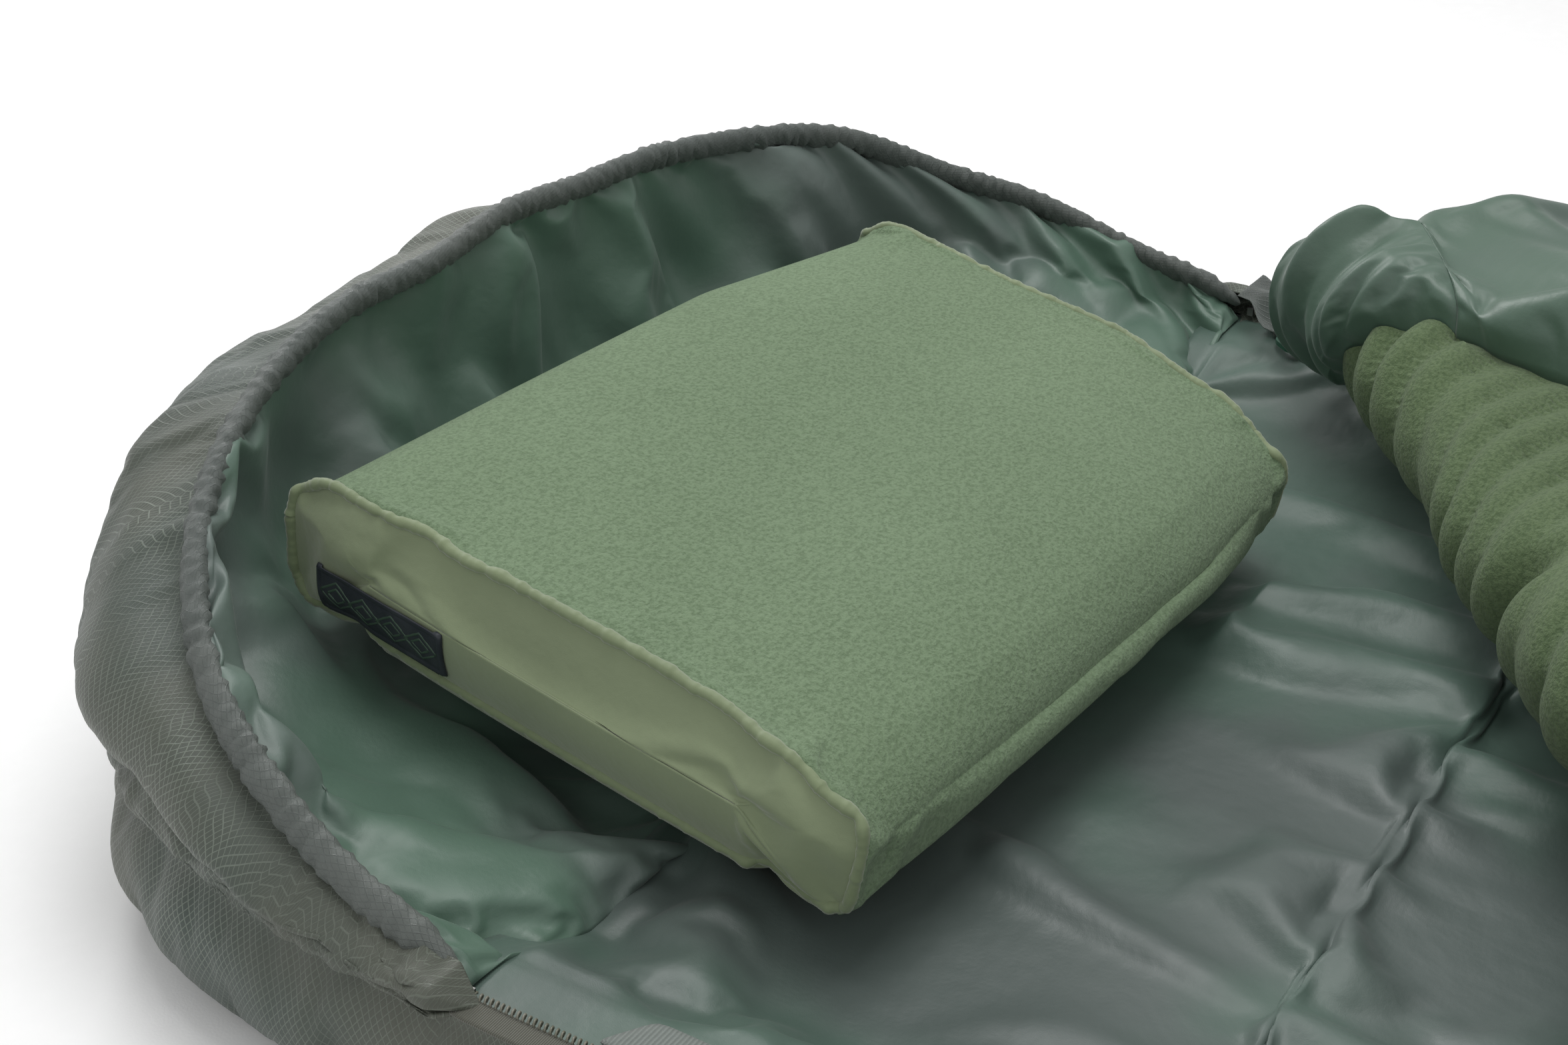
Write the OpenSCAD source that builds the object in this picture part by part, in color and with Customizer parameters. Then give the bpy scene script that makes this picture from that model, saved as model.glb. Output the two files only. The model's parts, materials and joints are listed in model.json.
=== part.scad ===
/* [Bag] */
// Width across the quilted base
bag_w = 940; // [920:5:960]
// Length of the base from the zip tops to the foot end
foot_y = 1800; // [1780:5:1830]
// Depth of the hood beyond the zip tops
hood_d = 375; // [365:5:385]
// Height of the base's padded edge
edge_h = 78; // [76:1:80]
// Thickness of the pad that is lain on
pad_h = 45; // [40:1:48]

/* [Hood] */
// Height of the rim's centre at the crown
rim_top = 240; // [225:5:250]
// Height of the rim's centre at the zip tops
rim_end = 100; // [96:1:106]
// Radius of the gathered rim channel
channel_r = 12; // [10:0.5:13]

/* [Lid] */
// Angle of the fold across the bag, from straight across
fold_angle = 33; // [32:1:34]
// Height of the fold's turning line
fold_z = 131; // [130:1:133]
// Thickness of the lid's filling
lid_fill_h = 34; // [30:1:35]
// Height of the padded neck baffle on the folded corner
baffle_h = 72; // [60:1:76]

/* [Pillow] */
// Width of the pillow
pillow_w = 500; // [480:5:500]
// Length of the pillow along the bag
pillow_l = 376; // [350:2:378]
// Thickness of the pillow
pillow_h = 105; // [95:1:108]

/* [Hidden] */

ripstop = [0.33, 0.36, 0.34];
satin = [0.33, 0.41, 0.37];
fleece = [0.36, 0.48, 0.32];
olive = [0.47, 0.52, 0.36];
wadding = [0.93, 0.93, 0.90];
zip_grey = [0.30, 0.30, 0.24];
webbing_grey = [0.42, 0.47, 0.44];
gunmetal = [0.32, 0.32, 0.31];
loop_green = [0.05, 0.25, 0.16];
label_black = [0.12, 0.13, 0.16];

gap = 0.5;            // air between neighbouring soft pieces
skin = 3;             // thickness of a cloth skin
half_w = bag_w / 2;
corner_r = 110;       // rounding of the foot corners
squareness = 2.9;     // exponent of the hood's rounded outline
arc_steps = 24;       // stations round half of the hood's outline

// Outline of the base, drawn in by inset: the hood's curve, straight sides, rounded foot corners
function round_x(a, inset) = -(half_w - inset) * sign(cos(a)) * pow(abs(cos(a)), 2 / squareness);
function round_y(a, inset) = (hood_d - inset) * pow(abs(sin(a)), 2 / squareness);
function outline(inset) = let (r = corner_r - inset, x = half_w - corner_r, y = foot_y - corner_r)
    concat([for (i = [0 : 2 * arc_steps]) let (a = 90 * i / arc_steps) [round_x(a, inset), round_y(a, inset)]],
           [for (i = [0 : 6]) [x + r * cos(15 * i), -y - r * sin(15 * i)]],
           [for (i = [0 : 6]) [-x - r * sin(15 * i), -y - r * cos(15 * i)]]);

module slab(inset, z0, z1) {
    translate([0, 0, z0]) linear_extrude(z1 - z0) polygon(outline(inset));
}

// ---- Base ----
roll_w = 47;                       // width of the padded edge
pad_in = skin + gap;               // where the filling starts, in from the outside
well_in = pad_in + roll_w;         // where the sleeping well starts
lining_t = 2;

module base_shell() {
    color(ripstop) difference() {
        slab(0, 0, edge_h);
        slab(skin, skin, edge_h + 1);
    }
}

module base_fill() {
    color(wadding) difference() {
        slab(pad_in, pad_in, edge_h - skin);
        slab(well_in, pad_h, edge_h);
    }
}

module base_lining() {
    top = edge_h - gap;
    color(satin) difference() {
        slab(pad_in, pad_h + gap, top);
        slab(well_in + gap + lining_t, pad_h + gap + lining_t, top + 1);
        difference() {
            slab(pad_in - 1, pad_h, top - lining_t);
            slab(well_in + gap, pad_h - 1, top);
        }
    }
}

// ---- Hood: sections swept round the hood's outline ----
hood_z = edge_h + 1;               // the hood stands on the padded edge
end_inset = 21;                    // rim's inset from the outline at the zip tops
crown_inset = 40;                  // how much further in it lies at the crown
function rim_inset(a) = end_inset + crown_inset * sin(a);
function rim_z(a) = rim_end + (rim_top - rim_end) * sin(a);
rim_clear = 3;                     // air under the rim channel
function fill_z(a, share) = hood_z + gap + share * (rim_z(a) - channel_r - rim_clear - hood_z - gap);

// Outer side of the hood's filling, as [inset, height, outward x share, outward z share]
function outer_side(a) = let (ri = rim_inset(a)) [
    [6, fill_z(a, 0), 1, 0], [-1, fill_z(a, 0.25), 1, 0], [-1, fill_z(a, 0.55), 1, 0],
    [ri * 0.35, fill_z(a, 0.9), 0.7, 0.7], [ri, fill_z(a, 1), 0, 1]];
// Inner side of the hood's filling, from the rim down
function inner_side(a) = let (ri = rim_inset(a)) [
    [ri + 10, fill_z(a, 0.96), -0.5, 0.8], [ri + 20, fill_z(a, 0.7), -1, 0],
    [ri + 21, fill_z(a, 0.3), -1, 0], [ri + 21, fill_z(a, 0), -1, 0]];

function pushed(side, d) = [for (p = side) [p[0] - d * p[2], p[1] + d * p[3]]];
function flipped(list) = [for (i = [len(list) - 1 : -1 : 0]) list[i]];
function fill_ring(a) = concat(pushed(outer_side(a), 0), pushed(inner_side(a), 0));
function skin_ring(side, t) = concat(pushed(side, gap + t), flipped(pushed(side, gap)));
function at_hood(a, ring) = [for (p = ring) [round_x(a, p[0]), round_y(a, p[0]), p[1]]];

hood_angles = concat([0.1], [for (i = [0 : 32]) 2 + 5.5 * i], [179.9]);

// A closed tube of equal rings, with flat ends; each four-sided face is split at its middle
module loft(rings) {
    n = len(rings[0]);
    m = len(rings);
    corners = [for (ring = rings) each ring];
    middles = [for (j = [0 : m - 2]) for (i = [0 : n - 1])
        (rings[j][i] + rings[j][(i + 1) % n] + rings[j + 1][i] + rings[j + 1][(i + 1) % n]) / 4];
    sides = [for (j = [0 : m - 2]) for (i = [0 : n - 1])
        let (a = j * n + i, b = j * n + (i + 1) % n, c = b + n, d = a + n, e = (m + j) * n + i)
        each [[a, e, b], [b, e, c], [c, e, d], [d, e, a]]];
    ends = [[for (i = [0 : n - 1]) i], [for (i = [n - 1 : -1 : 0]) (m - 1) * n + i]];
    polyhedron(concat(corners, middles), concat(sides, ends), convexity = 6);
}

module hood_fill() color(wadding) loft([for (a = hood_angles) at_hood(a, fill_ring(a))]);
module hood_shell() color(ripstop) loft([for (a = hood_angles) at_hood(a, skin_ring(outer_side(a), skin - 1))]);
module hood_lining() color(satin)
    loft([for (a = hood_angles) at_hood(a, skin_ring(inner_side(a), lining_t))]);

elastic_r = 4;
// The channel is a sleeve: a ring section that is open by a hair at its seam
function sleeve_ring(a) = concat(
    [for (i = [0 : 12]) let (b = 28.5 * i - 81) [rim_inset(a) + channel_r * cos(b), rim_z(a) + channel_r * sin(b)]],
    [for (i = [12 : -1 : 0]) let (b = 28.5 * i - 81)
        [rim_inset(a) + (elastic_r + 1) * cos(b), rim_z(a) + (elastic_r + 1) * sin(b)]]);
module rim_channel() color(ripstop) loft([for (a = hood_angles) at_hood(a, sleeve_ring(a))]);
module rim_elastic() color(label_black) loft([for (a = hood_angles) at_hood(a,
    [for (i = [0 : 7]) [rim_inset(a) + elastic_r * cos(45 * i), rim_z(a) + elastic_r * sin(45 * i)]])]);

// ---- Zips: straight runs along both sides, in a level plane ----
zip_x = half_w - 18;               // centre of each chain
zip_z = edge_h + 6;                // height of the tapes' middle
tape_t = 1;
coil_gap = 2.4;                    // open gap between the two rows of teeth
coil_w = 3.3;
coil_h = 4;
chain_half = coil_gap / 2 + coil_w;
zip_foot = -foot_y + 140;          // foot end of both chains
lid_edge_x = half_w - 37;          // side edges of the lid
fold_dir = [-cos(fold_angle), -sin(fold_angle)];
fold_out = [sin(fold_angle), -cos(fold_angle)];
fold_start = [half_w - 20, -30];   // far end of the fold's outermost line
fold_in = 50;                      // from that line to the turning line
function fold_point(s, q) = fold_start + s * fold_dir + q * fold_out;
function fold_y(x, q) = let (s = (fold_start[0] + q * fold_out[0] - x) / cos(fold_angle)) fold_point(s, q)[1];
slider_l = 22;
below_fold = 29;                   // from the fold to the near slider's middle
near_slider_y = round(fold_y(-lid_edge_x, fold_in)) - below_fold;
far_slider_y = -36;
base_tape_top = -5;                // hood end of the base's tapes
tape_clear = 0.2;                  // air between a tape and its coil
tape_hem = 2;                      // thickness of the hem that a tape is sewn to
lid_hem_h = 16;                    // height of that hem on the lid
stop_l = 4.5;

// A bar along the bag, on the far side if side is 1 and on the near side if it is -1
module bar(side, x0, x1, y0, y1, z0, z1) {
    x = side > 0 ? x0 : -x1;
    translate([x, y0, z0]) cube([x1 - x0, y1 - y0, z1 - z0]);
}
function lid_chain_top(side) = side > 0 ? far_slider_y + slider_l / 2 : near_slider_y;

module base_zip_tapes() {
    color(zip_grey) for (side = [-1, 1]) {
        bar(side, zip_x + chain_half + tape_clear, half_w, zip_foot, base_tape_top,
            zip_z - tape_t / 2, zip_z + tape_t / 2);
        bar(side, half_w - tape_hem, half_w, zip_foot, base_tape_top, edge_h, zip_z);
    }
}

module base_zip_coils() {
    color(zip_grey) for (side = [-1, 1])
        bar(side, zip_x + coil_gap / 2, zip_x + chain_half, zip_foot + 5, -10, zip_z - coil_h / 2, zip_z + coil_h / 2);
}

module lid_zip_tapes() {
    color(zip_grey) for (side = [-1, 1]) {
        x1 = zip_x - chain_half - tape_clear;
        bar(side, lid_edge_x, x1, zip_foot, lid_chain_top(side), zip_z - tape_t / 2, zip_z + tape_t / 2);
        bar(side, lid_edge_x, lid_edge_x + tape_hem, zip_foot, lid_chain_top(side), zip_z, zip_z + lid_hem_h);
    }
}

module lid_zip_coils() {
    color(zip_grey) for (side = [-1, 1])
        bar(side, zip_x - chain_half, zip_x - coil_gap / 2, zip_foot + 5, lid_chain_top(side),
            zip_z - coil_h / 2, zip_z + coil_h / 2);
}

module zip_top_stops() {
    color(gunmetal) for (side = [-1, 1])
        bar(side, zip_x + coil_gap / 2, zip_x + chain_half, base_tape_top - stop_l, base_tape_top,
            zip_z - 3, zip_z + 3);
}

module zip_bottom_stops() {
    color(gunmetal) for (side = [-1, 1])
        bar(side, zip_x - chain_half, zip_x + chain_half, zip_foot - 1, zip_foot + stop_l, zip_z + 0.7, zip_z + 3);
}

// Stiff webbing beside the chain that keeps the lining out of the slider
webbing_w = 25;
webbing_in = 50;                   // from the bag's side to the webbing's inner edge
webbing_top = -125;
module anti_snag_webbing() {
    x = half_w - webbing_in;
    color(webbing_grey) for (side = [-1, 1])
        bar(side, x, x + webbing_w, zip_foot, webbing_top, edge_h - gap, edge_h + gap);
}

// Cloth corner that covers the far slider's parking place
garage_over = 8;                   // height over the tapes' middle
module zip_garage() {
    color(ripstop) translate([0, 0, zip_z + garage_over]) linear_extrude(skin)
        polygon([[lid_edge_x, -34], [lid_edge_x, -100], [lid_edge_x - 40, -84]]);
}

// ---- Lid: the part that stays closed ----
lid_z = zip_z + 4;
lid_fill_z = lid_z + lining_t + gap;
lid_shell_z = lid_fill_z + lid_fill_h + gap;
lid_top = lid_shell_z + skin;
lid_start = fold_in + 4;           // the still part starts this far in from the fold
lid_foot = foot_y - 12;
// Plan of the closed part, drawn in by inset; over runs past the fold instead of stopping at it
function lid_plan(inset, over) = let (x = lid_edge_x - inset, r = 90, y = lid_foot - inset, q = lid_start - over)
    concat([[-x, fold_y(-x, q)], [x, fold_y(x, q)]],
           [for (i = [0 : 6]) [x - r + r * cos(15 * i), -y + r - r * sin(15 * i)]],
           [for (i = [0 : 6]) [-x + r - r * sin(15 * i), -y + r - r * cos(15 * i)]]);
module lid_slab(inset, over, z0, z1) {
    translate([0, 0, z0]) linear_extrude(z1 - z0) polygon(lid_plan(inset, over));
}

module lid_shell() {
    color(ripstop) difference() {
        lid_slab(0, 0, lid_z, lid_top);
        lid_slab(skin, 30, lid_z - 1, lid_shell_z);
    }
}
module lid_fill() color(wadding) lid_slab(pad_in, 0, lid_fill_z, lid_shell_z - gap);
module lid_lining() color(satin) lid_slab(pad_in, 0, lid_z, lid_z + lining_t);

// Panel that joins the lid and the base round the foot, below the zips' ends
gusset_w = 10;
module foot_gusset() {
    z = edge_h - gap;
    color(ripstop) intersection() {
        difference() {
            lid_slab(1, 0, z, lid_z);
            lid_slab(1 + gusset_w, 30, z - 1, lid_z + 1);
        }
        translate([-half_w, -foot_y, 0]) cube([bag_w, foot_y + zip_foot, lid_top]);
    }
}

// ---- Fold: everything here is drawn along the turning line ----
module at_fold() {
    translate([fold_start[0], fold_start[1], 0]) rotate([0, 0, 180 + fold_angle]) children();
}
flap_q = fold_in + 6;              // where the turning corner starts
flap_z = fold_z + 3;
flap_fill_z = flap_z + skin + gap;
fleece_z = flap_fill_z + lid_fill_h + gap;
fleece_t = 4;
bend_r = fleece_z + fleece_t - fold_z;
bend_from = 75;
bend_to = 1045;

// The stretch of quilt that bends through the fold
module lid_bend() {
    color(satin) at_fold() translate([bend_from, fold_in, fold_z]) rotate([90, 0, 90])
        linear_extrude(bend_to - bend_from) intersection() {
            circle(r = bend_r, $fn = 48);
            translate([-bend_r - 1, -bend_r - 1]) square([bend_r + 1 - gap, 2 * bend_r + 2]);
        }
}

// Plans of the turning corner, in lengths along the fold and out from it
seam_dir = [cos(fold_angle), sin(fold_angle)];
seam_out = [-sin(fold_angle), cos(fold_angle)];
seam_start = [177, 5];             // where the fleece meets the neck baffle at the fold
seam_end = 780;
baffle_w = 150;
function seam_point(t, w) = seam_start + t * seam_dir + w * seam_out;
function seam_at(q, w) = seam_point((q - seam_start[1] - w * seam_out[1]) / seam_dir[1], w);
flap_near = 1005;                  // the corner's near end along the fold
fleece_plan = [seam_at(flap_q, -2) + [4, 0], [flap_near, flap_q], seam_point(seam_end - 20, -4)];
baffle_plan = [seam_at(flap_q, 1), seam_point(seam_end, 1), seam_point(seam_end - 10, baffle_w),
               seam_point(30, baffle_w), [135, flap_q]];
shell_plan = [[135, flap_q], [flap_near, flap_q], seam_point(seam_end - 20, -4), seam_point(seam_end, 1),
              seam_point(seam_end - 10, baffle_w), seam_point(30, baffle_w)];
module flap_slab(plan, z0, z1) {
    at_fold() translate([0, 0, z0]) linear_extrude(z1 - z0) polygon(plan);
}

module flap_shell() color(ripstop) flap_slab(shell_plan, flap_z, flap_z + skin);
module flap_fill() color(wadding) flap_slab(fleece_plan, flap_fill_z, fleece_z - gap);
module flap_fleece() color(fleece) flap_slab(fleece_plan, fleece_z, fleece_z + fleece_t);
module neck_baffle_cover() {
    color(satin) difference() {
        flap_slab(baffle_plan, flap_fill_z, flap_z + baffle_h);
        at_fold() translate([0, 0, flap_fill_z - 1]) linear_extrude(baffle_h - skin - gap - skin)
            offset(delta = -skin) polygon(baffle_plan);
    }
}
module neck_baffle_fill() {
    color(wadding) at_fold() translate([0, 0, flap_fill_z]) linear_extrude(baffle_h - 2 * skin - 2 * gap - 4)
        offset(delta = -skin - gap) polygon(baffle_plan);
}

// Loose half of the near zip, along the corner's edge
flap_zip_z = flap_z + 17;
edge_a = [flap_near, flap_q];
edge_b = seam_point(seam_end - 20, -4);
edge_l = norm(edge_b - edge_a);
edge_turn = atan2(edge_b[1] - edge_a[1], edge_b[0] - edge_a[0]);
module at_flap_edge() {
    at_fold() translate([edge_a[0], edge_a[1], flap_zip_z]) rotate([0, 0, edge_turn]) children();
}
edge_from = 45;
module flap_zip_tape() {
    color(zip_grey) at_flap_edge() translate([edge_from, -14, 0]) cube([edge_l - edge_from, 13.5, tape_t]);
}
module flap_zip_coil() {
    color(zip_grey) at_flap_edge() translate([edge_from, -14.2 - coil_w, -1.5]) cube([edge_l - edge_from - 5, coil_w, coil_h]);
}

// ---- Sliders: two plates round the chain, joined by a post between its rows ----
plate_in = 3.2;                    // from the chain's middle to a plate
plate_t = 1.8;
slider_w = 15;
flange_w = 1.3;
post_w = 1.8;
bail_r = 1;
bail_x = 3.2;
bail_z = zip_z + plate_in + plate_t + 3.4;
hook_x = zip_x - 17;               // inner puller's swivel
tongue_t = 1.2;

module slider(side, y) {
    color(gunmetal) translate([side * zip_x, y, 0]) {
        for (up = [-1, 1]) {
            z0 = up > 0 ? zip_z + plate_in : zip_z - plate_in - plate_t;
            translate([-slider_w / 2, -slider_l / 2, z0]) cube([slider_w, slider_l, plate_t]);
            z1 = up > 0 ? zip_z + 1.2 : zip_z - plate_in - 0.1;
            for (edge = [-slider_w / 2, slider_w / 2 - flange_w])
                translate([edge, -slider_l / 2, z1]) cube([flange_w, slider_l, plate_in - 1.1]);
        }
        translate([-post_w / 2, slider_l / 2 - 8, zip_z - plate_in - 1]) cube([post_w, 7, 2 * plate_in + 2]);
        // Bail over the upper plate, with a round pin for the outer link
        for (x = [-bail_x - 1, bail_x - 1])
            translate([x, -3, zip_z + plate_in + 1]) cube([2, 6, 5]);
        translate([-bail_x, 0, bail_z]) rotate([0, 90, 0]) cylinder(r = bail_r, h = 2 * bail_x, $fn = 24);
        // Tongue under the lid's tape, with a stud for the inner link
        mirror([side > 0 ? 0 : 1, 0, 0]) translate([hook_x - zip_x, 0, zip_z - plate_in - plate_t]) {
            translate([0, -2, 0]) cube([zip_x - hook_x - slider_w / 2 + 1, 4, tongue_t]);
            cylinder(r = 3, h = tongue_t, $fn = 32);
            cylinder(r = 1, h = tongue_t + 2.4, $fn = 32);
        }
    }
}
module near_slider() slider(-1, near_slider_y);
module far_slider() slider(1, far_slider_y);

// Wire link with a round eye, lying along -Y from the eye
module link(eye_r, length, t) {
    difference() {
        union() {
            cylinder(r = eye_r + 1.4, h = t, center = true, $fn = 32);
            translate([-1.2, -length, -t / 2]) cube([2.4, length, t]);
        }
        cylinder(r = eye_r, h = t + 1, center = true, $fn = 32);
    }
}

loop_l = 30;
loop_w = 20;
// Moulded pull loop: a rounded ring, starting at the origin and lying along -Y
module pull_loop(t) {
    translate([0, 0, -t / 2]) linear_extrude(t) difference() {
        loop_shape(0);
        translate([0, 3]) loop_shape(5);
    }
}
module loop_shape(inset) {
    r = loop_w / 2 - inset;
    translate([0, -loop_w / 2]) circle(r = r, $fn = 40);
    translate([0, -loop_l + loop_w / 2]) circle(r = r, $fn = 40);
    translate([-r, -loop_l + loop_w / 2]) square([2 * r, loop_l - loop_w]);
}

link_l = 9;
loop_t = 3.6;
module outer_link(side, y) {
    color(gunmetal) translate([side * zip_x, y, bail_z]) rotate([0, 90, 0])
        link(bail_r + 0.3, link_l, 3);
}
module outer_loop(side, y) {
    color(loop_green) translate([side * zip_x, y - link_l - gap, bail_z]) pull_loop(loop_t);
}
inner_l = 8;
inner_z = zip_z - plate_in - plate_t + tongue_t + 0.9;
inner_turn = 40;                   // how far the inner pullers point away from the zip at rest
module at_stud(side, y) {
    translate([side * hook_x, y, inner_z]) rotate([0, 0, -inner_turn * side]) children();
}
module inner_link(side, y) color(gunmetal) at_stud(side, y) link(1.3, inner_l, 1.4);
module inner_loop(side, y) {
    color(loop_green) at_stud(side, y) translate([0, -inner_l - gap, 0.2]) pull_loop(loop_t - 0.4);
}
module near_outer_link() outer_link(-1, near_slider_y);
module near_outer_loop() outer_loop(-1, near_slider_y);
module near_inner_link() inner_link(-1, near_slider_y);
module near_inner_loop() inner_loop(-1, near_slider_y);
module far_outer_link() outer_link(1, far_slider_y);
module far_outer_loop() outer_loop(1, far_slider_y);
module far_inner_link() inner_link(1, far_slider_y);
module far_inner_loop() inner_loop(1, far_slider_y);

// ---- Pillow: it lies in the hood, tipped up towards the crown ----
pillow_at = [-50, 54];
pillow_corner_r = 30;
pillow_turn = -4;
pillow_tilt = 8;
pillow_rise = 27;                  // its middle lies this far over the lining, because it is tipped
pillow_z = pad_h + gap + lining_t + pillow_rise;
piping_r = 3;
module at_pillow() {
    translate([pillow_at[0], pillow_at[1], pillow_z]) rotate([pillow_tilt, 0, pillow_turn]) children();
}
function pillow_outline(inset) = let (r = pillow_corner_r - inset, x = pillow_w / 2 - pillow_corner_r, y = pillow_l / 2 - pillow_corner_r)
    [for (c = [[1, 1, 0], [-1, 1, 90], [-1, -1, 180], [1, -1, 270]]) for (i = [0 : 6])
        [c[0] * x + r * cos(c[2] + 15 * i), c[1] * y + r * sin(c[2] + 15 * i)]];
module pillow_slab(inset, z0, z1) {
    translate([0, 0, z0]) linear_extrude(z1 - z0) polygon(pillow_outline(inset));
}
module pillow_ring(inset, width, z0, z1) {
    difference() {
        pillow_slab(inset, z0, z1);
        pillow_slab(inset + width, z0 - 1, z1 + 1);
    }
}
band_z = 2 * piping_r + gap;
module pillow_underside() color(olive) at_pillow() pillow_slab(2 * piping_r + gap, 0, lining_t);
module pillow_fleece() color(fleece) at_pillow() pillow_slab(2 * piping_r + gap, pillow_h - skin, pillow_h);
module pillow_piping() {
    color(olive) at_pillow() for (z = [0, pillow_h - 2 * piping_r])
        pillow_ring(0, 2 * piping_r, z, z + 2 * piping_r);
}
module pillow_side_band() color(olive) at_pillow() pillow_ring(piping_r - 1, lining_t, band_z, pillow_h - band_z);
module pillow_fill() color(wadding) at_pillow() pillow_slab(2 * piping_r + gap, lining_t + gap, pillow_h - skin - gap);
label_size = [2.3, 90, 30];
label_at = [piping_r - 3.6 - pillow_w / 2, 68, 32];
module pillow_label() color(label_black) at_pillow() translate(label_at) cube(label_size);

base_shell();
base_fill();
base_lining();
hood_shell();
hood_fill();
hood_lining();
rim_channel();
rim_elastic();
base_zip_tapes();
base_zip_coils();
lid_zip_tapes();
lid_zip_coils();
anti_snag_webbing();
zip_top_stops();
zip_bottom_stops();
zip_garage();
lid_shell();
lid_fill();
lid_lining();
foot_gusset();
lid_bend();
flap_shell();
flap_fill();
flap_fleece();
flap_zip_tape();
flap_zip_coil();
neck_baffle_cover();
neck_baffle_fill();
near_slider();
near_outer_link();
near_outer_loop();
near_inner_link();
near_inner_loop();
far_slider();
far_outer_link();
far_outer_loop();
far_inner_link();
far_inner_loop();
pillow_fleece();
pillow_side_band();
pillow_underside();
pillow_piping();
pillow_fill();
pillow_label();
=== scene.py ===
# %% [markdown]
# # A hooded, padded bivy bag with its pillow
# The bag is sewn from thin panels over soft wadding, so nearly everything you see is cloth that is held
# along a seam and pushed out between seams. The hard parts (sliders, stops, pull loops) come ready from the
# CAD frame and only get a finish here. All sizes are in metres, in the same frame as the CAD.

# %% Load the frame
import json
import math

import bpy
import numpy as np
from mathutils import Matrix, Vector


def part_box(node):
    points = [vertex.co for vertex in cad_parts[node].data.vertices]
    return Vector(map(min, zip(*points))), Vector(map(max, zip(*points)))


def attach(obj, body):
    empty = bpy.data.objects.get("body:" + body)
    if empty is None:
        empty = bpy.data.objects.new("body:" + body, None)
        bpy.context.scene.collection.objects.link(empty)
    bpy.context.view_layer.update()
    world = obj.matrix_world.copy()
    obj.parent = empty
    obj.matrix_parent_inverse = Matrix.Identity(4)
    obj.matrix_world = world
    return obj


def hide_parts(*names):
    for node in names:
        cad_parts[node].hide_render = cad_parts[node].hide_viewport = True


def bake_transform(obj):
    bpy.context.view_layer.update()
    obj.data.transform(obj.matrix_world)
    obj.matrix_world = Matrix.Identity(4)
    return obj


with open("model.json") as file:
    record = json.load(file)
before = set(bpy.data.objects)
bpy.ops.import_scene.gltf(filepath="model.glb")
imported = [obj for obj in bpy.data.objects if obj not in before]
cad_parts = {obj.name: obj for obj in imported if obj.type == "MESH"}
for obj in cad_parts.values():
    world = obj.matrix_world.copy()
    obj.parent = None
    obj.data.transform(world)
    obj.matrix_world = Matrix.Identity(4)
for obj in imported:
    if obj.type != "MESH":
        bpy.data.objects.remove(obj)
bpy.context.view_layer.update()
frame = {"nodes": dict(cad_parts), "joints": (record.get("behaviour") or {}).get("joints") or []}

# %% [markdown]
# ## Camera, light and floor
# Soft studio light is one big lamp above, one from the side that rakes over the folds, and a pale world. The
# satin needs large lamps, because its highlights are pictures of them.

# %% Camera, light and floor
AZIMUTH, ELEVATION = math.radians(-57.66), math.radians(28.36)
view_back = np.array([math.sin(AZIMUTH) * math.cos(ELEVATION), -math.cos(AZIMUTH) * math.cos(ELEVATION),
                      math.sin(ELEVATION)])


def aimed(data, name, place, towards):
    """Adds a lamp or a camera at place, looking towards a point."""
    thing = bpy.data.objects.new(name, data)
    bpy.context.collection.objects.link(thing)
    thing.location = place
    thing.rotation_euler = (Vector(towards) - Vector(place)).to_track_quat("-Z", "Y").to_euler()
    return thing


camera_place = np.array([-1.0216, -0.5298, 0.7292])
lens = bpy.data.cameras.new("camera")
lens.lens, lens.sensor_width = 50.77, 36.0
camera = aimed(lens, "camera", camera_place, camera_place - view_back)
bpy.context.scene.camera = camera


def lamp(name, place, towards, size, power):
    """A round area lamp."""
    data = bpy.data.lights.new(name, "AREA")
    data.shape, data.size, data.energy = "DISK", size, power
    return aimed(data, name, place, towards)


lamp("overhead", (0.3, 0.1, 2.6), (0, -0.2, 0), 1.6, 30)
lamp("rake", (1.3, 2.2, 1.7), (0, 0, 0.1), 1.0, 26)
lamp("fill", (-2.4, -1.0, 1.6), (0, 0, 0.1), 1.6, 6)

world = bpy.data.worlds.new("studio")
world.use_nodes = True
world.node_tree.nodes["Background"].inputs["Color"].default_value = (1.0, 1.0, 1.0, 1.0)
world.node_tree.nodes["Background"].inputs["Strength"].default_value = 0.62
bpy.context.scene.world = world
bpy.context.scene.view_settings.view_transform = "Standard"

# %% [markdown]
# ## Shader maths as plain expressions
# A wrapped socket can be added, multiplied or mixed like a number; each operation makes its node. Numbers go
# through Math nodes, and colours through Mix nodes, because a Math node turns a colour
# grey.

# %% The socket wrapper and the material class


class Wire:
    """An output socket that can be used in arithmetic."""

    def __init__(self, shader, socket):
        self.shader, self.socket = shader, socket

    def math(self, operation, *others):
        return self.shader.node("ShaderNodeMath", {"operation": operation}, *others)

    def __add__(self, other): return self.math("ADD", self, other)
    def __radd__(self, other): return self.math("ADD", other, self)
    def __sub__(self, other): return self.math("SUBTRACT", self, other)
    def __rsub__(self, other): return self.math("SUBTRACT", other, self)
    def __mul__(self, other): return self.math("MULTIPLY", self, other)
    def __rmul__(self, other): return self.math("MULTIPLY", other, self)
    def __truediv__(self, other): return self.math("DIVIDE", self, other)
    def __pow__(self, other): return self.math("POWER", self, other)


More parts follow.
